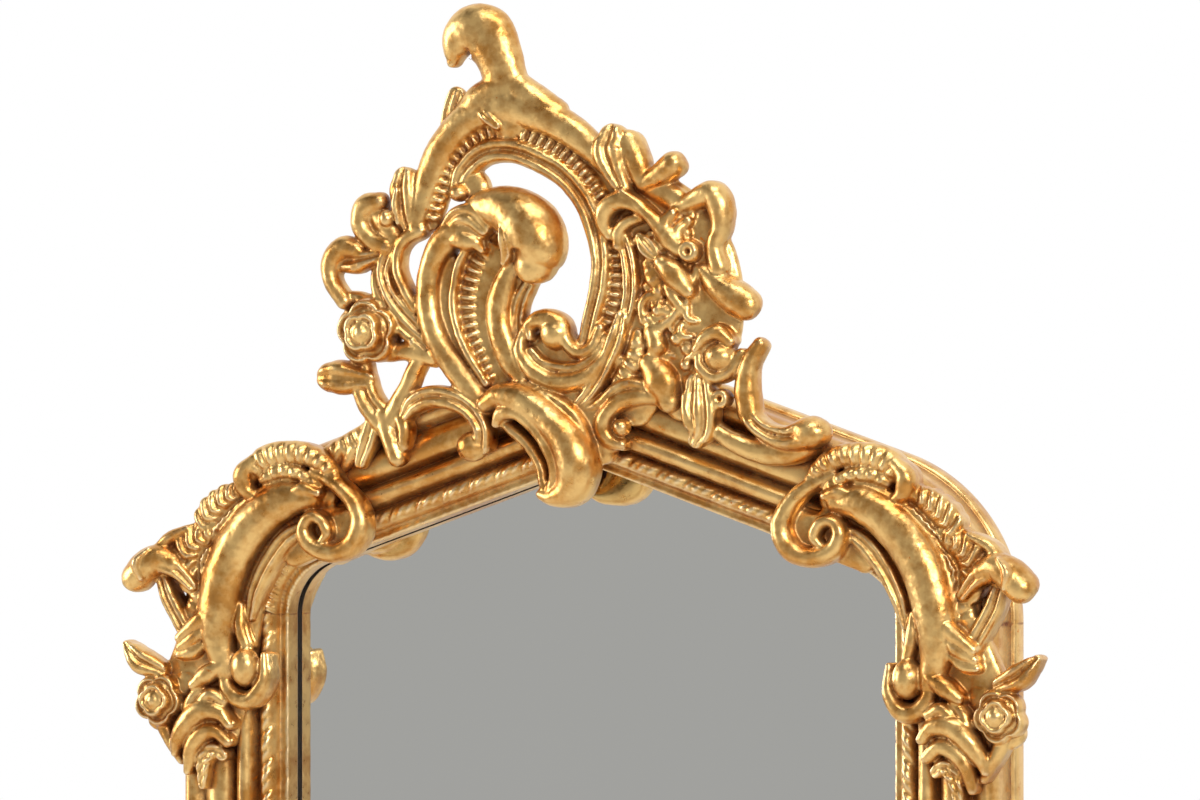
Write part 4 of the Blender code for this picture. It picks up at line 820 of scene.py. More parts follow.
        (105, -228, 0, 37.5, 8), (101, -262, 0, 37.5, 8), (96, -297, 0, 26, 7), (96, -316, 0, 18, 6)],
        {"under": 12}),
    "rightGroundLow": ("round", [(44, -254, 0, 11.5, 7), (54, -278, 0, 21.5, 8),
        (54, -301, 0, 21.5, 8), (49, -318, 0, 16.5, 7)], {"under": 14}),
    "doubleLobe": ("creased", [(52, -153, 10, 4, 6), (42, -135, 11, 10, 9), (36, -117, 11, 14, 12),
        (38, -107, 10, 11.5, 11)], {"under": 20}),
    "doubleLobeSide": ("round", [(62, -142, 7, 6.5, 8), (57, -127, 8, 10.5, 10),
        (50, -112, 8, 11.5, 10)], {"under": 18}),
    "knobUpper": ("round", [(64, -142, 7, 7.5, 8), (76, -136, 8, 9, 10), (88, -128, 8, 10.5, 12)],
        {"under": 16}),
    "knobUpperBase": ("round", [(66, -145, 4, 8, 7), (79, -150, 4, 10, 7), (93, -158, 4, 10, 8)],
        {"under": 14}),
    "diagonalStem": ("round", [(49, -149, 16, 3.5, 5), (62, -159, 16, 5, 6), (73, -169, 15, 5.5, 7),
        (84, -181, 14, 7.5, 8), (94, -192, 13, 7.5, 7)]),
    "leafCurl": ("round", [(69, -167, 15, 4, 5), (57, -159, 15, 5.5, 7), (44, -156, 15, 7.5, 8),
        (33, -163, 14, 7.5, 8), (31, -173, 13, 6.5, 7), (35, -182, 11, 4, 5)]),
    "leafCurlInner": ("round", [(62, -169, 11, 4, 5), (51, -172, 11, 5, 6), (43, -179, 10, 5.5, 6),
        (42, -189, 9, 5, 6)]),
    "hookRim": ("round", [(90, -163, 6, 5, 7), (104, -156, 6, 8, 9), (120, -151, 6, 10.5, 12),
        (127, -163, 6, 10.5, 12), (127, -177, 6, 8, 10), (122, -192, 6, 7.5, 9), (126, -208, 6, 8, 9)],
        {"under": 14}),
    "bowlLeft": ("round", [(89, -166, 12, 5, 6), (83, -175, 14, 6.5, 7), (86, -187, 13, 6.5, 7),
        (93, -194, 12, 5, 6)]),
    "bowlInner": ("round", [(100, -172, 9, 5, 5), (93, -180, 11, 5.5, 7), (95, -191, 12, 5.5, 6)]),
    "eyeBall": ("eye", 104, -195, 14, 9),
    "smoothPetal": ("round", [(81, -204, 14, 6.5, 7), (91, -212, 15, 10, 8), (103, -225, 14, 6.5, 7)]),
    "leafletA": ("threeLobes", [(60, -183, 9, 3.5, 5), (67, -191, 10, 7.5, 6), (76, -200, 10, 4, 5)]),
    "leafletB": ("ribbed", [(67, -205, 9, 5, 5), (72, -214, 10, 7.5, 6), (76, -225, 9, 4, 5)]),
    "petalSmall": ("round", [(84, -222, 10, 3.5, 5), (89, -229, 10, 5.5, 6), (95, -238, 9, 5, 5)]),
    "petalFork": ("round", [(95, -212, 9, 3.5, 5), (105, -219, 9, 4, 6), (108, -209, 8, 4, 5)]),
    "beadA": ("ball", 76, -240, 10, 5, 5, 6),
    "wormA": ("round", [(63, -248, 8, 3.5, 5), (62, -236, 9, 4, 5), (68, -229, 9, 4, 5),
        (77, -230, 8, 3.5, 4)]),
    "wormB": ("round", [(67, -247, 9, 3.5, 5), (75, -253, 9, 4, 5), (86, -248, 9, 4, 5),
        (92, -241, 9, 3.5, 5)]),
    "knobSide": ("round", [(114, -211, 6, 6.5, 8), (125, -221, 6, 10.5, 11), (139, -230, 6, 13, 13),
        (148, -236, 6, 12.5, 12)], {"under": 14}),
    "bulbLip": ("round", [(109, -270, 12, 3.5, 5), (117, -261, 13, 5.5, 7), (127, -257, 12, 6.5, 7),
        (136, -264, 10, 5.5, 6)]),
    "slitBulb": ("ball", 128, -276, 9, 13, 11, 12),
    "slitBulbRing": ("round", [(110, -271, 8, 3.5, 6), (112, -284, 9, 5, 7), (124, -292, 9, 5, 7),
        (137, -287, 9, 5, 7), (145, -274, 8, 5, 6)]),
    "horn": ("round", [(151, -318, 7, 10, 9), (149, -299, 7, 10, 10), (152, -281, 7, 8, 9),
        (160, -267, 6, 6.5, 8)], {"under": 14}),
    "hornFlow": ("creased", [(149, -307, 7, 7.5, 8), (154, -323, 7, 7.5, 9), (166, -333, 7, 8, 10),
        (184, -338, 8, 10, 11), (200, -335, 9, 12.5, 12)], {"under": 20}),
    "endBall": ("ball", 204, -334, 8, 16, 13, 15),
    "hornUnder": ("round", [(116, -327, 3, 5, 7), (135, -340, 3, 8, 9), (159, -348, 2, 10, 10),
        (184, -349, 2, 10, 10), (202, -344, 2, 8, 9)], {"under": 18}),
    "leafDrop": ("threeLobes", [(110, -299, 9, 11.5, 7), (111, -316, 10, 15.5, 9),
        (111, -332, 9, 12.5, 8), (107, -340, 7, 6.5, 6)], {"under": 20}),
    "leafDropFold": ("round", [(99, -306, 12, 2.5, 4), (101, -318, 13, 4, 5), (106, -330, 12, 3.5, 4)]),
    "eyeSmall": ("eye", 129, -308, 10, 8),
    "bulbUpper": ("round", [(71, -257, 9, 6.5, 7), (75, -267, 10, 8, 9), (72, -276, 9, 5.5, 7)]),
    "bulbLower": ("round", [(70, -282, 9, 10, 9), (79, -295, 9, 14, 13), (84, -309, 8, 10, 10)],
        {"under": 20}),
    "slitBandA": ("round", [(66, -298, 9, 4, 6), (53, -296, 10, 5, 7), (40, -301, 10, 5, 7),
        (28, -311, 9, 5, 7), (15, -318, 8, 4, 6)]),
    "lowVolute": ("round", [(81, -309, 8, 5, 7), (64, -306, 10, 6.5, 8), (48, -309, 11, 7.5, 9),
        (35, -318, 11, 7.5, 9), (30, -330, 10, 7.5, 9), (35, -340, 9, 6.5, 8), (44, -343, 8, 5.5, 7)],
        {"under": 22}),
    "lowVoluteBall": ("ball", 46, -330, 12, 7, 7, 9),
    "twistLeaf": ("creased", [(45, -245, 8, 5.5, 7), (41, -262, 9, 8, 9), (33, -279, 9, 7.5, 8),
        (22, -299, 9, 6.5, 8), (7, -315, 8, 5, 7)], {"under": 16}),
    "twistLeafSide": ("ribbed", [(57, -260, 6, 5.5, 6), (55, -278, 7, 9, 8), (42, -295, 7, 6.5, 7)],
        {"under": 14}),
}


shoulderCarving = {
    "groundSweep": ("round", [(216, -383, -1, 11.5, 6), (249, -386, -1, 24.5, 7),
        (281, -410, -1, 31, 7), (300, -442, -1, 33, 7), (307, -476, -1, 33, 7), (311, -507, -1, 31, 7),
        (312, -538, -1, 28, 7), (315, -573, -1, 21.5, 6)], {"under": 20}),
    "groundVolute": ("round", [(186, -399, -1, 11.5, 5), (202, -410, -1, 19.5, 6),
        (221, -413, -1, 19.5, 6), (245, -430, -1, 11.5, 6)], {"under": 20}),
    "groundRose": ("round", [(334, -495, -1, 13, 6), (341, -526, -1, 18, 6), (345, -554, -1, 18, 6),
        (339, -577, -1, 11.5, 5)], {"under": 20}),
    "volute": ("round", [(222, -366, 9, 4, 6), (199, -377, 9, 6.5, 9), (184, -392, 10, 8, 10),
        (180, -409, 10, 9, 11), (189, -424, 10, 9, 11), (206, -429, 10, 8, 11),
        (223, -423, 11, 7.5, 10), (229, -411, 12, 6.5, 9), (223, -401, 13, 5.5, 8),
        (213, -403, 14, 5, 7), (208, -413, 14, 5, 6), (213, -420, 13, 3.5, 5)], {"under": 16}),
    "voluteGround": ("round", [(186, -402, 2, 11.5, 5), (203, -413, 2, 18, 6), (219, -414, 2, 11.5, 5)],
        {"under": 14}),
    "sweep": ("round", [(226, -386, 8, 10, 10), (247, -388, 9, 15, 14), (270, -402, 9, 17, 16),
        (290, -425, 9, 18, 17), (302, -452, 9, 18, 17), (307, -480, 9, 16.5, 16),
        (306, -503, 8, 13, 13), (301, -522, 7, 10, 10)], {"under": 24}),
    "sweepLip": ("round", [(217, -382, 14, 4, 5), (228, -379, 15, 5.5, 6), (238, -382, 15, 5, 5)]),
    "sweepEdge": ("round", [(242, -372, 8, 3.5, 6), (265, -379, 8, 3.5, 6), (287, -394, 8, 3.5, 6),
        (306, -419, 8, 3.5, 6), (318, -447, 8, 3.5, 6), (322, -474, 8, 3.5, 6)], {"under": 24}),
    "crestFringe": ("ribbed", [(200, -374, 8, 4, 6), (211, -361, 9, 7.5, 9), (228, -352, 9, 9, 10),
        (249, -351, 9, 10, 10), (266, -356, 9, 10.5, 10), (277, -366, 8, 8, 9)], {"under": 24}),
    "crestFringeInner": ("ribbed", [(217, -376, 10, 4, 6), (234, -367, 11, 5.5, 7),
        (251, -365, 11, 6.5, 7), (266, -371, 10, 5, 6)]),
    "crestLobe": ("round", [(274, -357, 12, 5.5, 7), (283, -367, 13, 8, 9), (281, -379, 12, 7.5, 8),
        (273, -385, 11, 4, 6)], {"under": 24}),
    "shellUpper": ("fringe", [(285, -380, 6, 8, 8), (301, -389, 7, 12.5, 10), (315, -402, 7, 13, 10),
        (321, -418, 6, 8, 8)], {"under": 24, "scallop": (9, 0.12)}),
    "shellLower": ("fringe", [(312, -414, 6, 10, 8), (327, -422, 7, 15, 10), (334, -435, 7, 15.5, 10),
        (331, -452, 6, 11.5, 8)], {"under": 24, "scallop": (9, 0.12)}),
    "shellRim": ("round", [(334, -411, 10, 3.5, 6), (349, -418, 11, 5, 7), (358, -427, 12, 5.5, 7)],
        {"under": 20}),
    "fingerRoot": ("creased", [(329, -456, 10, 5, 7), (341, -444, 12, 7.5, 9), (356, -436, 14, 10, 11)],
        {"under": 20}),
    "fingerHead": ("round", [(347, -438, 13, 9, 10), (357, -435, 14, 11.5, 13),
        (368, -440, 14, 13, 15), (377, -449, 13, 13, 15)], {"under": 14}),
    "fingerRing": ("round", [(362, -427, 24, 1.5, 3), (371, -438, 28, 3.5, 5), (368, -450, 25, 2.5, 4)],
        {"under": 12}),
    "fingerStalk": ("creased", [(357, -452, 6, 6.5, 8), (352, -466, 6, 7.5, 8), (344, -480, 6, 7.5, 8),
        (335, -495, 6, 7.5, 8)], {"under": 20}),
    "hollowRibs": ("ribbed", [(327, -452, 5, 6.5, 6), (326, -464, 5, 9, 7), (332, -478, 5, 7.5, 6)],
        {"under": 20}),
    "sprigA": ("round", [(311, -475, 15, 3.5, 5), (320, -483, 16, 6.5, 7), (338, -497, 14, 5, 6)],
        {"under": 24}),
    "sprigB": ("round", [(316, -489, 14, 3.5, 5), (326, -497, 15, 5.5, 6), (339, -505, 13, 4, 5)],
        {"under": 24}),
    "sprigC": ("round", [(320, -503, 12, 3.5, 4), (329, -509, 13, 5, 5), (340, -511, 12, 4, 5)],
        {"under": 24}),
    "hornLower": ("creased", [(360, -523, 9, 7.5, 8), (374, -517, 11, 10.5, 10),
        (383, -509, 11, 7.5, 8), (389, -503, 10, 3.5, 5)], {"under": 18}),
    "rosette": ("rose", 359, -547, 9, 24, -30),
    "roseBack": ("round", [(340, -534, 0, 11.5, 8), (354, -548, 0, 18, 9), (363, -561, 0, 11.5, 8)],
        {"under": 16}),
    "tipUpper": ("round", [(303, -519, 13, 5, 6), (315, -526, 14, 7.5, 8), (326, -534, 13, 5.5, 7)],
        {"under": 24}),
    "tipLower": ("round", [(301, -547, 12, 4, 5), (312, -542, 13, 5.5, 7), (322, -550, 12, 5, 6)],
        {"under": 24}),
    "tipLink": ("round", [(321, -537, 11, 4, 6), (330, -547, 11, 5, 7), (335, -559, 11, 4, 6)],
        {"under": 22}),
    "bandUpper": ("round", [(296, -565, 11, 5, 7), (305, -556, 12, 7.5, 9), (320, -555, 13, 9, 10),
        (333, -565, 13, 9, 10), (342, -578, 11, 6.5, 8), (346, -589, 9, 3.5, 5)], {"under": 26}),
    "bandMiddle": ("round", [(299, -579, 9, 5, 6), (309, -571, 10, 6.5, 8), (322, -574, 11, 7.5, 8),
        (331, -586, 10, 6.5, 7), (335, -603, 8, 4, 5)], {"under": 26}),
    "bandLower": ("leaf", [(305, -590, 6, 5, 5), (312, -586, 7, 6.5, 6), (321, -595, 7, 6.5, 6),
        (323, -614, 6, 4, 4)], {"under": 26}),
    "roseTail": ("round", [(358, -568, 5, 6.5, 7), (351, -581, 5, 5.5, 7), (343, -595, 4, 3.5, 5)],
        {"under": 20}),
    "egg": ("ball", 283, -520, 9, 12, 16, 13),
    "eggCup": ("round", [(267, -511, 6, 3.5, 6), (267, -530, 7, 5.5, 8), (277, -545, 8, 7.5, 9),
        (290, -545, 8, 7.5, 9), (300, -533, 8, 6.5, 8), (300, -514, 7, 4, 6)], {"under": 22}),
    "innerLeaf": ("creased", [(227, -407, 4, 5, 6), (247, -418, 5, 7.5, 8), (262, -436, 5, 7.5, 8),
        (274, -458, 5, 6.5, 8), (280, -480, 4, 4, 6)], {"under": 24}),
    "innerTip": ("round", [(287, -472, 8, 3.5, 5), (287, -488, 9, 5.5, 7), (283, -503, 8, 5, 6)],
        {"under": 24}),
}


def crestPlace(x, z, forward):
    return (x * mm, frontPlane - forward * mm, crestTop + z * mm)


def mirroredPlace(side):
    def place(x, z, forward):
        return (side * x * mm, frontPlane - forward * mm, crestTop + z * mm)

    return place


tendrils = {
    # small curls that crowd the ground to the right of the ring: middle and reach in mm
    "fields": [((84, -205), (20, 46), 26), ((88, -262), (26, 42), 26), ((44, -292), (16, 26), 8)],
    "lengthMm": 15.0,
    "halfMm": 3.4,
    "riseMm": 5.0,
    "forwardMm": 7.0,
}


def scatterTendrils():
    # short curls and berries, seeded so that they fall alike each time
    draw = random.Random(7)
    parts = []
    for (x, z), (wide, high), count in tendrils["fields"]:
        for number in range(count):
            spread = math.sqrt((number + 0.5) / count)
            angle = number * 2.4 + draw.uniform(-0.3, 0.3)
            cx, cz = x + wide * spread * math.cos(angle), z + high * spread * math.sin(angle)
            forward = tendrils["forwardMm"] + draw.uniform(-2.0, 3.0)
            if number % 5 == 0:
                size = draw.uniform(4.0, 6.0)
                parts.append(("ball", cx, cz, forward, size, size, size))
                continue
            heading, bend = draw.uniform(0, 2 * math.pi), draw.choice((-1, 1)) * draw.uniform(0.5, 0.9)
            half = tendrils["halfMm"] * draw.uniform(0.8, 1.3)
            rows = []
            for step in range(4):
                share = 0.5 + 0.5 * math.sin(math.pi * (step + 0.6) / 4.4)
                rows.append((cx, cz, forward, half * share, tendrils["riseMm"] * share))
                cx += tendrils["lengthMm"] / 3 * math.cos(heading)
                cz += tendrils["lengthMm"] / 3 * math.sin(heading)
                heading += bend
            parts.append(("round", rows, {"under": 14}))
    return parts


def buildCrest():
    parts = [*crestCarving.values(), *scatterTendrils()]
    carve(
        "crestCarving", parts, crestPlace, materials["gilding"], "mirror", 1.1,
        ("crest_carving",),
    )


def buildShoulders():
    for side, label in ((-1, "left"), (1, "right")):
        carve(
            f"{label}ShoulderCarving", shoulderCarving.values(), mirroredPlace(side),
            materials["gilding"], "mirror",
            1.0, (f"{label}_shoulder_carving",),
        )


cornerCarving = {
    # mm inward from the frame's outer edge and up from its bottom
    "riser": ("round", [(-54, 172, 5, 3, 5), (-45, 150, 7, 8, 9), (-39, 122, 8, 12, 12),
        (-37, 94, 9, 15, 13),
        (-43, 68, 10, 14, 13), (-57, 54, 11, 11, 11), (-70, 62, 11, 8, 9), (-66, 76, 12, 6, 7),
        (-56, 76, 12, 4, 5)]),
    "runner": ("round", [(-182, 54, 5, 3, 5), (-156, 46, 7, 8, 9), (-126, 41, 8, 12, 12),
        (-98, 38, 9, 15, 13),
        (-72, 34, 10, 13, 12), (-54, 24, 10, 10, 10), (-58, 10, 10, 7, 8), (-70, 12, 11, 5, 6)]),
    "riserFringe": ("ribbed", [(-16, 150, 6, 4, 6), (-8, 126, 8, 9, 9), (-5, 100, 9, 12, 10),
        (-8, 74, 9, 11, 9), (-16, 54, 8, 7, 8)]),
    "runnerFringe": ("ribbed", [(-160, 18, 6, 4, 6), (-136, 9, 8, 9, 9), (-110, 8, 9, 11, 10),
        (-88, 14, 8, 8, 8)]),
    "riserRim": ("round", [(-24, 140, 8, 3, 5), (-21, 110, 9, 4, 6), (-22, 80, 9, 4, 6),
        (-30, 56, 9, 3, 5)]),
    "cornerLeaf": ("leaf", [(-46, 50, 9, 7, 7), (-64, 68, 10, 12, 9), (-80, 84, 8, 9, 7),
        (-90, 95, 6, 3, 4)]),
    "cornerLobe": ("creased", [(-22, 18, 7, 9, 9), (-8, 8, 7, 12, 11), (2, 0, 6, 9, 9)]),
    "upperTip": ("creased", [(-14, 50, 8, 8, 8), (0, 58, 8, 10, 9), (10, 68, 7, 5, 6)]),
    "rosette": ("rose", -30, 30, 12, 23, 20),
    "riserBead": ("ball", -44, 42, 12, 6, 6, 7),
    "riserTip": ("creased", [(-46, 150, 7, 5, 6), (-58, 138, 8, 8, 7), (-66, 122, 7, 4, 5)]),
    "runnerTip": ("creased", [(-150, 50, 7, 5, 6), (-138, 60, 8, 8, 7), (-124, 66, 7, 4, 5)]),
}

apronCarving = {
    # mm from the rail's middle and up from the frame's bottom; the side scrolls are made in pairs
    "leafDrop": ("leaf", [(0, 14, 12, 12, 9), (0, -4, 12, 17, 10), (0, -20, 10, 11, 8), (0, -34, 7, 3, 5)]),
    "bead": ("ball", 0, 24, 18, 11, 11, 11),
    "ground": ("round", [(-40, 34, 2, 12, 7), (0, 36, 2, 26, 9), (40, 34, 2, 12, 7)]),
}
apronPair = {
    "scroll": ("round", [(14, 8, 9, 8, 9), (34, 24, 10, 12, 12), (62, 34, 10, 13, 12), (92, 46, 9, 10, 10),
        (116, 52, 8, 8, 9), (128, 42, 9, 6, 7), (120, 32, 9, 5, 6), (112, 38, 10, 3, 5)]),
    "leaf": ("leaf", [(58, 26, 9, 6, 6), (84, 20, 9, 11, 8), (106, 22, 8, 8, 7), (122, 20, 6, 3, 4)]),
    "sideDrop": ("creased", [(10, 8, 11, 5, 7), (20, -6, 11, 8, 8), (22, -20, 9, 4, 5)]),
    "upperTip": ("creased", [(30, 36, 9, 6, 7), (46, 52, 9, 8, 8), (60, 60, 7, 4, 5)]),
}
shellFan = {"ribs": 7, "spread": 150.0, "startMm": 8.0, "halfMm": 5.5, "riseMm": 8.0}


def fanRibs(x, z, forward, reach, scale=1.0):
    # the ribs of a scallop shell, spreading upwards from its hinge
    ribs = []
    for i in range(shellFan["ribs"]):
        share = i / (shellFan["ribs"] - 1) - 0.5
        angle = math.radians(90 - share * shellFan["spread"])
        far = reach * (1 - 0.45 * abs(share))
        rows = []
        for step, width in (
            (shellFan["startMm"] * scale, 0.35), (far * 0.55, 0.8), (far * 0.85, 1.0), (far, 0.75),
        ):
            rows.append((
                x + step * math.cos(angle), z + step * math.sin(angle), forward,
                shellFan["halfMm"] * width * scale, shellFan["riseMm"] * (0.6 + 0.4 * width) * scale,
            ))
        ribs.append(("round", rows))
    return ribs


def mirroredParts(parts):
    # each part and its reflection in the middle line
    both = []
    for kind, rows, *options in parts:
        both.append((kind, rows, *options))
        both.append((kind, [(-row[0], *row[1:]) for row in rows], *options))
    return both


def buildLowerCarvings():
    low = frameBottom + moulding["flangeMm"] * mm
    for side, label in ((-1, "left"), (1, "right")):
        def cornerPlace(x, z, forward, side=side):
            return (side * (halfWidth + x * mm), frontPlane - forward * mm, low + z * mm)

        carve(
            f"{label}LowerCarving", cornerCarving.values(), cornerPlace, materials["gilding"], "mirror",
            1.1, (f"{label}_lower_carving",),
        )
    parts = [*apronCarving.values(), *mirroredParts(apronPair.values()), *fanRibs(0, 22, 9, 44)]
    carve(
        "apronCarving", parts, lambda x, z, forward: (x * mm, frontPlane - forward * mm, low + z * mm),
        materials["gilding"], "mirror", 1.1, ("apron_carving",),
    )


def turnedPiece(
    name, profile, centre, axis, material, body, replaced, lobes=0, lobeDepth=0.0, twist=0.0,
    extra=None,
):
    # turned work: profile rows are (radius, place along the axis, lobe weight) in mm
    fine = smoothTurning(profile)
    direction = Vector(axis).normalized()
    side = direction.orthogonal().normalized()
    other = direction.cross(side)
    segments = 64 if not lobes else max(64, lobes * 12)
    points, faces = [], []
    for radius, along, weight in fine:
        for k in range(segments):
            angle = 2 * math.pi * k / segments
            shape = abs(math.cos(lobes * (angle + twist * along) / 2)) ** 0.7 if lobes else 0.0
            r = radius * (1 - lobeDepth * weight * (1 - shape)) * mm
            outward = side * math.cos(angle) + other * math.sin(angle)
            points.append(Vector(centre) + direction * along * mm + outward * r)
    count = len(fine)
    for i in range(count - 1):
        for k in range(segments):
            j = (k + 1) % segments
            faces.append(
                (i * segments + k, i * segments + j, (i + 1) * segments + j, (i + 1) * segments + k),
            )
    faces.append(tuple(reversed(range(segments))))
    faces.append(tuple(range((count - 1) * segments, count * segments)))
    for extraPoints, extraFaces in extra or []:
        offset = len(points)
        points += extraPoints
        faces += [tuple(i + offset for i in face) for face in extraFaces]
    return makePiece(name, points, faces, material, body, replaced)


def smoothTurning(profile):
    # a soft line through the turning's points; a point given twice stays a sharp arris
    runs, run = [], [profile[0]]
    for row in profile[1:]:
        if row[:2] == run[-1][:2]:
            runs.append(run)
            run = [row]
        else:
            run.append(row)
    runs.append(run)
    fine = []
    for part in runs:
        rows = [(along, radius, weight[0] if weight else 0.0) for radius, along, *weight in part]
        if len(rows) < 3:
            fine += [(r, a, w) for a, r, w in rows]
            continue
        length = sum(math.dist(a[:2], b[:2]) for a, b in zip(rows, rows[1:]))
        curve = smoothCurve(rows, max(8, int(length / 1.0)))[0]
        fine += [(max(r, 0.05), a, max(w, 0.0)) for a, r, w in curve]
    return fine


def roundedBlock(x, low, high, across, deep, softMm=3.0, steps=5, dishMm=0.0):
    # a square block with eased edges, as points and faces
    soft = softMm * mm
    outline = []
    for quarter in range(4):
        sx, sy = ((1, 1), (-1, 1), (-1, -1), (1, -1))[quarter]
        for k in range(steps + 1):
            angle = math.pi / 2 * (quarter + k / steps)
            outline.append(
                (sx * (across - soft) + soft * math.cos(angle),
                sy * (deep - soft) + soft * math.sin(angle)),
            )
    levels = []
    for k in range(steps + 1):
        angle = math.pi / 2 * k / steps
        levels.append((low + soft * (1 - math.sin(angle)), soft * (1 - math.cos(angle))))
    levels += [(high - (z - low), inset) for z, inset in reversed(levels)]
    points = []
    for z, inset in levels:
        scaleX, scaleY = 1 - inset / across, 1 - inset / deep
        points += [(x + px * scaleX, py * scaleY, z) for px, py in outline]
    wide = len(outline)
    faces = [tuple(reversed(range(wide))), tuple(range((len(levels) - 1) * wide, len(levels) * wide))]
    for i in range(len(levels) - 1):
        for k in range(wide):
            j = (k + 1) % wide
            faces.append((i * wide + k, i * wide + j, (i + 1) * wide + j, (i + 1) * wide + k))
    return points, faces


post = {
    # radius and share of the shaft, from the base block to the pivot block; the third value is gadrooning
    "shaft": [
        (23.5, 0.0), (24, 0.006), (23, 0.014), (17.5, 0.024), (15, 0.035), (20, 0.045), (22, 0.055),
        (20, 0.064),
        (14, 0.076, 0.3), (16, 0.11, 1), (21, 0.165, 1), (22.6, 0.20, 1), (20, 0.26, 1),
        (14, 0.315, 0.4), (15, 0.328),
        (18.6, 0.336), (18.6, 0.347), (15, 0.356), (12.6, 0.37), (13.4, 0.48), (14.6, 0.62), (16, 0.80),
        (17, 0.905),
        (20, 0.922), (21.6, 0.936), (19, 0.950), (16.6, 0.962), (17, 0.985), (17, 1.0),
    ],
    "neck": [(17, 0.0), (14.5, 0.2), (14.0, 0.42), (17, 0.62), (20.8, 0.76), (20.8, 0.92), (19, 1.0)],
    "finial": [(10, 0), (17.5, 2.5), (18, 5), (12, 9), (8.6, 13, 0.2), (13, 19, 0.8), (18, 27, 1),
        (18.6, 34, 1),
        (15, 43, 1), (9, 52, 1), (4, 58.5, 0.8), (0.4, 61.6, 0)],
    "gadroons": 10,
    "gadroonDepth": 0.16,
    "gadroonTwist": 0.011,
    "flames": 7,
    "flameDepth": 0.22,
    "flameTwist": 0.035,
    "blockHalfMm": 38,
}


def buildPosts():
    for side, label in ((-1, "left"), (1, "right")):
        low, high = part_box(f"{label}_post")
        x = (low[0] + high[0]) / 2
        half = (high[0] - low[0]) / 2
        blockLow, blockHigh = pivotHeightMm - post["blockHalfMm"], pivotHeightMm + post["blockHalfMm"]
        shaftLow = low[2] / mm
        run = blockLow - shaftLow
        shaft = [(r, shaftLow + run * t, *w) for r, t, *w in post["shaft"]]
        block = roundedBlock(x, blockLow * mm, blockHigh * mm, half, half, 4.0)
        turnedPiece(
            f"{label}PostTurning", shaft, (x, 0, 0), (0, 0, 1), materials["flatGilding"], "stand",
            (f"{label}_post",),
            lobes=post["gadroons"], lobeDepth=post["gadroonDepth"], twist=post["gadroonTwist"],
            extra=[block],
        )
        top = high[2] / mm
        neck = [(r, blockHigh + (top - blockHigh) * t) for r, t in post["neck"]]
        turnedPiece(
            f"{label}PostNeck", neck, (x, 0, 0), (0, 0, 1), materials["flatGilding"], "stand",
            (),
        )
        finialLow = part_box(f"{label}_post_finial")[0][2] / mm
        finial = [(r, finialLow + t, *w) for r, t, *w in post["finial"]]
        turnedPiece(
            f"{label}FlameFinial", finial, (x, 0, 0), (0, 0, 1), materials["gilding"], "stand",
            (f"{label}_post_finial",), lobes=post["flames"], lobeDepth=post["flameDepth"],
            twist=post["flameTwist"],
        )
        carve(
            f"{label}BlockRosette", [("rose", 0, 0, 1, 15, 10)],
            lambda a, b, f: (x + a * mm, -half - f * mm, (pivotHeightMm + b) * mm),
            materials["gilding"], "stand", 1.0,
        )
        buildBaseBlock(x, label)
    print("posts, necks, flame finials and base blocks are turned")


def buildBaseBlock(x, label):
    low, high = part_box(f"{label}_base_block")
    across, deep = (high[0] - low[0]) / 2, (high[1] - low[1]) / 2
    top = high[2]
    body = roundedBlock(x, low[2], top - 16 * mm, across, deep, 3.5)
    cove = roundedBlock(x, top - 17 * mm, top - 9 * mm, across - 4 * mm, deep - 4 * mm, 3.0)
    cap = roundedBlock(x, top - 10 * mm, top, across - 1.5 * mm, deep - 1.5 * mm, 4.0)
    points, faces = [], []
    for morePoints, moreFaces in (body, cove, cap):
        offset = len(points)
        points += morePoints
        faces += [tuple(i + offset for i in face) for face in moreFaces]
    makePiece(
        f"{label}BaseBlock", points, faces, materials["flatGilding"], "stand",
        (f"{label}_base_block",),
    )
    outer = across * (1 if x > 0 else -1)

    def panelPlace(a, b, f):
        return (x + math.copysign(across + f * mm, outer), a * mm, (low[2] + top) / 2 - 4 * mm + b * mm)

    panel = [
        ("round", [(-30, -36, 0, 2, 3), (30, -36, 0, 2, 3), (30, 36, 0, 2, 3),
            (-30, 36, 0, 2, 3)][k : k + 2], {"under": 2})
        for k in range(3)
    ]
    panel.append(("round", [(-30, 36, 0, 2, 3), (-30, -36, 0, 2, 3)], {"under": 2}))
    for turn in (45, 135, 225, 315):
        c, s = math.cos(math.radians(turn)), math.sin(math.radians(turn))
        panel.append(
            ("leaf", [(9 * c, 9 * s, 0, 3, 4), (20 * c, 22 * s, 0, 6, 5), (27 * c, 32 * s, 0, 2, 3)],
            {"under": 2}),
        )
    carve(f"{label}BasePanel", panel, panelPlace, materials["gilding"], "stand", 0.9)


leg = {
    # shares of the leg's run and drop, then half height and half width in mm
    "route": [(0.0, 1.0, 24, 20), (0.14, 1.0, 24, 20), (0.42, 0.92, 21, 19), (0.66, 0.46, 16, 16),
        (0.84, 0.22, 15, 19), (0.96, 0.27, 9, 12)],
    "kneeLeaf": [
        ("leaf", [(14, 0, 18, 8, 8), (44, 0, 19, 15, 9), (84, 0, 17, 13, 8), (118, 0, 13, 5, 6)],
            {"under": 8}),
        ("round", [(20, 13, 15, 3, 5), (60, 15, 14, 4, 6), (104, 12, 10, 3, 5), (150, 5, 8, 2, 4)],
            {"under": 8}),
        ("round", [(20, -13, 15, 3, 5), (60, -15, 14, 4, 6), (104, -12, 10, 3, 5), (150, -5, 8, 2, 4)],
            {"under": 8}),
        ("round", [(110, 0, 11, 4, 5), (150, 0, 10, 4, 5), (190, 0, 8, 4, 4), (214, 0, 6, 3, 3)],
            {"under": 8}),
    ],
}


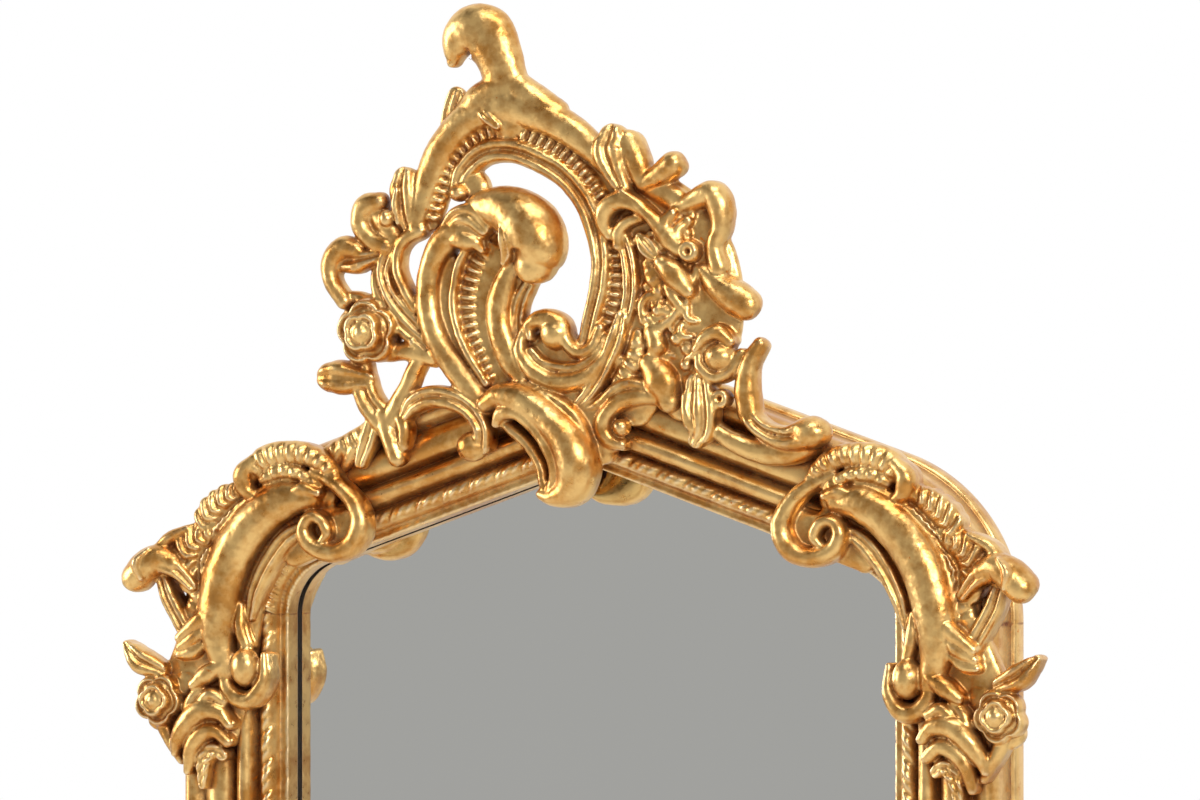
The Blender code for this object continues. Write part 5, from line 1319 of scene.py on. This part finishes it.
def buildLegs():
    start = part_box("left_base_block")[1][1] + 0.3 * mm
    reach = -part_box("left_front_leg")[0][1]
    drop = railHeightMm * mm
    rows = [(start + (reach - start) * s, drop * t, high, wide) for s, t, high, wide in leg["route"]]
    curve, along = smoothCurve(rows, 160)
    heading = np.gradient(curve[:, :2], axis=0)
    heading /= np.linalg.norm(heading, axis=1)[:, None]
    alongMm = along / mm
    body = [
        (float(s), 0, 0, float(wide), float(high))
        for s, high, wide in zip(alongMm[::8], curve[::8, 2], curve[::8, 3])
    ]
    body.append((float(alongMm[-1]), 0, 0, 11, 9))
    for side, label in ((-1, "left"), (1, "right")):
        x = (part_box(f"{label}_post")[0][0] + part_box(f"{label}_post")[1][0]) / 2
        for front, word in ((-1, "front"), (1, "back")):

            def legPlace(s, across, out, front=front, x=x):
                s = min(max(s, -8.0), alongMm[-1] + 12)
                i = [
                    np.interp(s, alongMm, column) for column in (curve[:, 0], curve[:, 1],
                    heading[:, 0], heading[:, 1])
                ]
                over = s - min(max(s, 0.0), alongMm[-1])
                y = i[0] + i[2] * over * mm - i[3] * out * mm
                z = i[1] + i[3] * over * mm + i[2] * out * mm
                return (x + across * mm, front * y, z)

            name = f"{label}{word.capitalize()}Leg"
            parts = [("legBody", body, {"under": 15}), *leg["kneeLeaf"]]
            carve(
                name, parts, legPlace, materials["gilding"], "stand", 1.3,
                (f"{label}_{word}_leg",),
                smoothing=3,
            )
            low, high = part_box(f"{label}_{word}_glide")
            y = (low[1] + high[1]) / 2
            foot = [(17, 6.3), (20.6, 8), (21.4, 12), (20, 17), (15, 21), (13, 26), (12, 31)]
            turnedPiece(
                f"{name}Pad", foot, (x, y, 0), (0, 0, 1), materials["gilding"], "stand", (),
            )
            glide = [(16.4, 0), (17, 0.8), (17, 5.6), (16.4, 6)]
            turnedPiece(
                f"{name}Glide", glide, (x, y, 0), (0, 0, 1), materials["felt"], "stand",
                (f"{label}_{word}_glide",),
            )


stretcherRail = {"bowMm": 14.0, "scallopMm": 10.0, "endMm": 46.0, "thicknessMm": 24.0}


def buildStretcher():
    low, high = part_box("stretcher")
    half = stretcherRail["thicknessMm"] / 2
    # half of the section, from the top middle over the front to the bottom middle: (forward, up) with beads
    outline = [
        (0, 1.0), (0.62, 1.0), (0.86, 0.97), (1.0, 0.86), (1.0, 0.78), (0.74, 0.74), (0.74, 0.68),
        (0.92, 0.64),
        (0.92, 0.56), (0.70, 0.50), (0.64, 0.0), (0.70, -0.50), (0.92, -0.56), (0.92, -0.64), (0.74, -0.68),
        (0.74, -0.74), (1.0, -0.80), (1.0, -0.90), (0.84, -0.98), (0, -1.0),
    ]
    ring = [(-f, u) for f, u in outline] + [(f, u) for f, u in reversed(outline[1:-1])]
    count = 300
    points, faces = [], []
    for i in range(count + 1):
        share = 2 * i / count - 1
        x = low[0] + (high[0] - low[0]) * i / count
        rise = stretcherRail["bowMm"] * math.cos(share * math.pi / 2) ** 2
        scallop = stretcherRail["scallopMm"] * math.cos(share * math.pi * 1.5) ** 2 * (1 - share**4)
        top = railHeightMm + stretcherRail["endMm"] / 2 + rise
        bottom = railHeightMm - stretcherRail["endMm"] / 2 + rise + scallop
        middle, tall = (top + bottom) / 2, (top - bottom) / 2
        points += [(x, f * half * mm, (middle + u * tall) * mm) for f, u in ring]
    wide = len(ring)
    for i in range(count):
        for k in range(wide):
            j = (k + 1) % wide
            faces.append((i * wide + k, i * wide + j, (i + 1) * wide + j, (i + 1) * wide + k))
    faces += [tuple(reversed(range(wide))), tuple(range(count * wide, (count + 1) * wide))]
    makePiece("stretcherRail", points, faces, materials["flatGilding"], "stand", ("stretcher",))
    shellParts = mirroredParts([
        ("round", [(9, -8, 2, 6, 7), (26, -4, 3, 9, 8), (46, 0, 3, 8, 8), (64, -5, 2, 6, 6),
            (80, -2, 1, 3, 4)]),
        ("leaf", [(40, 2, 3, 4, 4), (58, 8, 3, 7, 5), (78, 7, 2, 3, 3)]),
        ("creased", [(6, -10, 4, 4, 5), (14, -20, 3, 6, 5), (24, -23, 1, 3, 3)]),
    ])
    shellParts += fanRibs(0, -10, 3, 30, 0.75)
    shellParts.append(("ball", 0, -10, 7, 7, 6, 6))
    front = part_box("stretcher_shell")[1][1]
    centre = railHeightMm + stretcherRail["bowMm"]
    carve(
        "stretcherShell", shellParts, lambda x, z, forward: (x * mm, front - forward * mm,
            (centre + z) * mm),
        materials["gilding"], "stand", 1.0, ("stretcher_shell",),
    )


knob = {
    "profile": [(17.5, 0), (18, 2.5), (14, 5.5), (10.4, 8), (10, 13), (14, 17, 0.4), (19, 20.5, 1),
        (21, 26, 1), (19, 31.5, 1),
        (13, 36, 0.6), (7.5, 38.5), (6.6, 41), (4.2, 43.4), (0.4, 44)],
    "flutes": 12,
    "fluteDepth": 0.12,
}


def buildKnobs():
    for side, label in ((-1, "left"), (1, "right")):
        axis = (side, 0, 0)
        knobLow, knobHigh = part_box(f"{label}_knob")
        base = min(abs(knobLow[0]), abs(knobHigh[0])) / mm
        profile = [(r, base + t, *w) for r, t, *w in knob["profile"]]
        centre = (0, 0, pivotHeightMm * mm)
        turnedPiece(
            f"{label}Knob", profile, centre, axis, materials["gilding"], f"{label}_knob",
            (f"{label}_knob",),
            lobes=knob["flutes"], lobeDepth=knob["fluteDepth"],
        )
    print("knobs are turned and fluted")


def makeBrushedMetal(name, light, dark, roughness):
    # lathe-turned or stamped metal: fine scratches, and handling marks that dull it in patches
    material, tree, shader = newMaterial(name)
    place = addNode(tree, "ShaderNodeTexCoord").outputs["Object"]
    smear = addNode(tree, "ShaderNodeTexNoise", Vector=place, Scale=55.0, Detail=4.0)
    tint = mixColours(tree, smear.outputs["Fac"], dark, light)
    tree.links.new(tint, shader.inputs["Base Color"])
    shader.inputs["Metallic"].default_value = 1.0
    gloss = addNode(
        tree, "ShaderNodeMapRange", Value=smear.outputs["Fac"], From_Min=0.3, From_Max=0.7,
        To_Min=roughness - 0.06, To_Max=roughness + 0.12,
    )
    tree.links.new(gloss.outputs["Result"], shader.inputs["Roughness"])
    scratch = addNode(tree, "ShaderNodeTexNoise", Vector=place, Scale=900.0, Detail=2.0)
    bump = addNode(tree, "ShaderNodeBump", Height=scratch.outputs["Fac"], Strength=0.06, Distance=0.0003)
    tree.links.new(bump.outputs["Normal"], shader.inputs["Normal"])
    return material


def makeFibrous(name, light, dark, stretch, scale, roughness, depth):
    # wood, pressed board or felt: fibres that run along the stretch, with their shadow as bump
    material, tree, shader = newMaterial(name)
    place = addNode(tree, "ShaderNodeTexCoord").outputs["Object"]
    fibre = addNode(tree, "ShaderNodeMapping", Vector=place, Scale=stretch)
    grain = addNode(
        tree, "ShaderNodeTexNoise", Vector=fibre.outputs["Vector"], Scale=scale, Detail=7.0,
        Roughness=0.62,
    )
    fleck = addNode(tree, "ShaderNodeTexNoise", Vector=place, Scale=scale * 6, Detail=3.0)
    both = addNode(
        tree, "ShaderNodeMath", {"operation": "MULTIPLY_ADD"}, i0=fleck.outputs["Fac"], i1=0.35,
        i2=grain.outputs["Fac"],
    )
    reach = addNode(tree, "ShaderNodeMapRange", Value=both.outputs["Value"], From_Min=0.45, From_Max=0.9)
    tint = mixColours(tree, reach.outputs["Result"], dark, light)
    tree.links.new(tint, shader.inputs["Base Color"])
    shader.inputs["Roughness"].default_value = roughness
    bump = addNode(tree, "ShaderNodeBump", Height=both.outputs["Value"], Strength=depth, Distance=0.001)
    tree.links.new(bump.outputs["Normal"], shader.inputs["Normal"])
    return material


materials["brass"] = makeBrushedMetal("turned brass", "#D9B56C", "#B98F45", 0.26)
materials["steel"] = makeBrushedMetal("zinc plated steel", "#C9CBCD", "#9FA3A6", 0.34)
materials["felt"] = makeFibrous("pressed wool felt", "#3B352F", "#1F1B18", (1, 1, 1), 260.0, 0.95, 0.5)
materials["hardboard"] = makeFibrous("pressed hardboard", "#8A6239", "#5E3F22", (1, 1, 1), 70.0, 0.62, 0.25)
materials["pine"] = makeFibrous("planed pine", "#D2A56C", "#A9783F", (70, 70, 3), 1.6, 0.6, 0.2)

finishes = {
    "brass": ["pivot_plate", "turn_button", "spacer", "bush", "stretcher_bolt"],
    "steel": ["screw", "pivot_stud", "barrel_nut"],
    "hardboard": ["backing_board"],
    "pine": ["glass_strip"],
}


def paintKeptParts():
    # the small fittings keep their own shapes and take real finishes
    for name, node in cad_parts.items():
        for finish, words in finishes.items():
            if any(word in name for word in words):
                for holder in node.material_slots:
                    holder.material = materials[finish]
    print("the kept fittings have their finishes")


buildStudio()
buildRails()
buildGlass()
buildCrest()
buildShoulders()
buildLowerCarvings()
buildPosts()
buildLegs()
buildStretcher()
buildKnobs()
paintKeptParts()
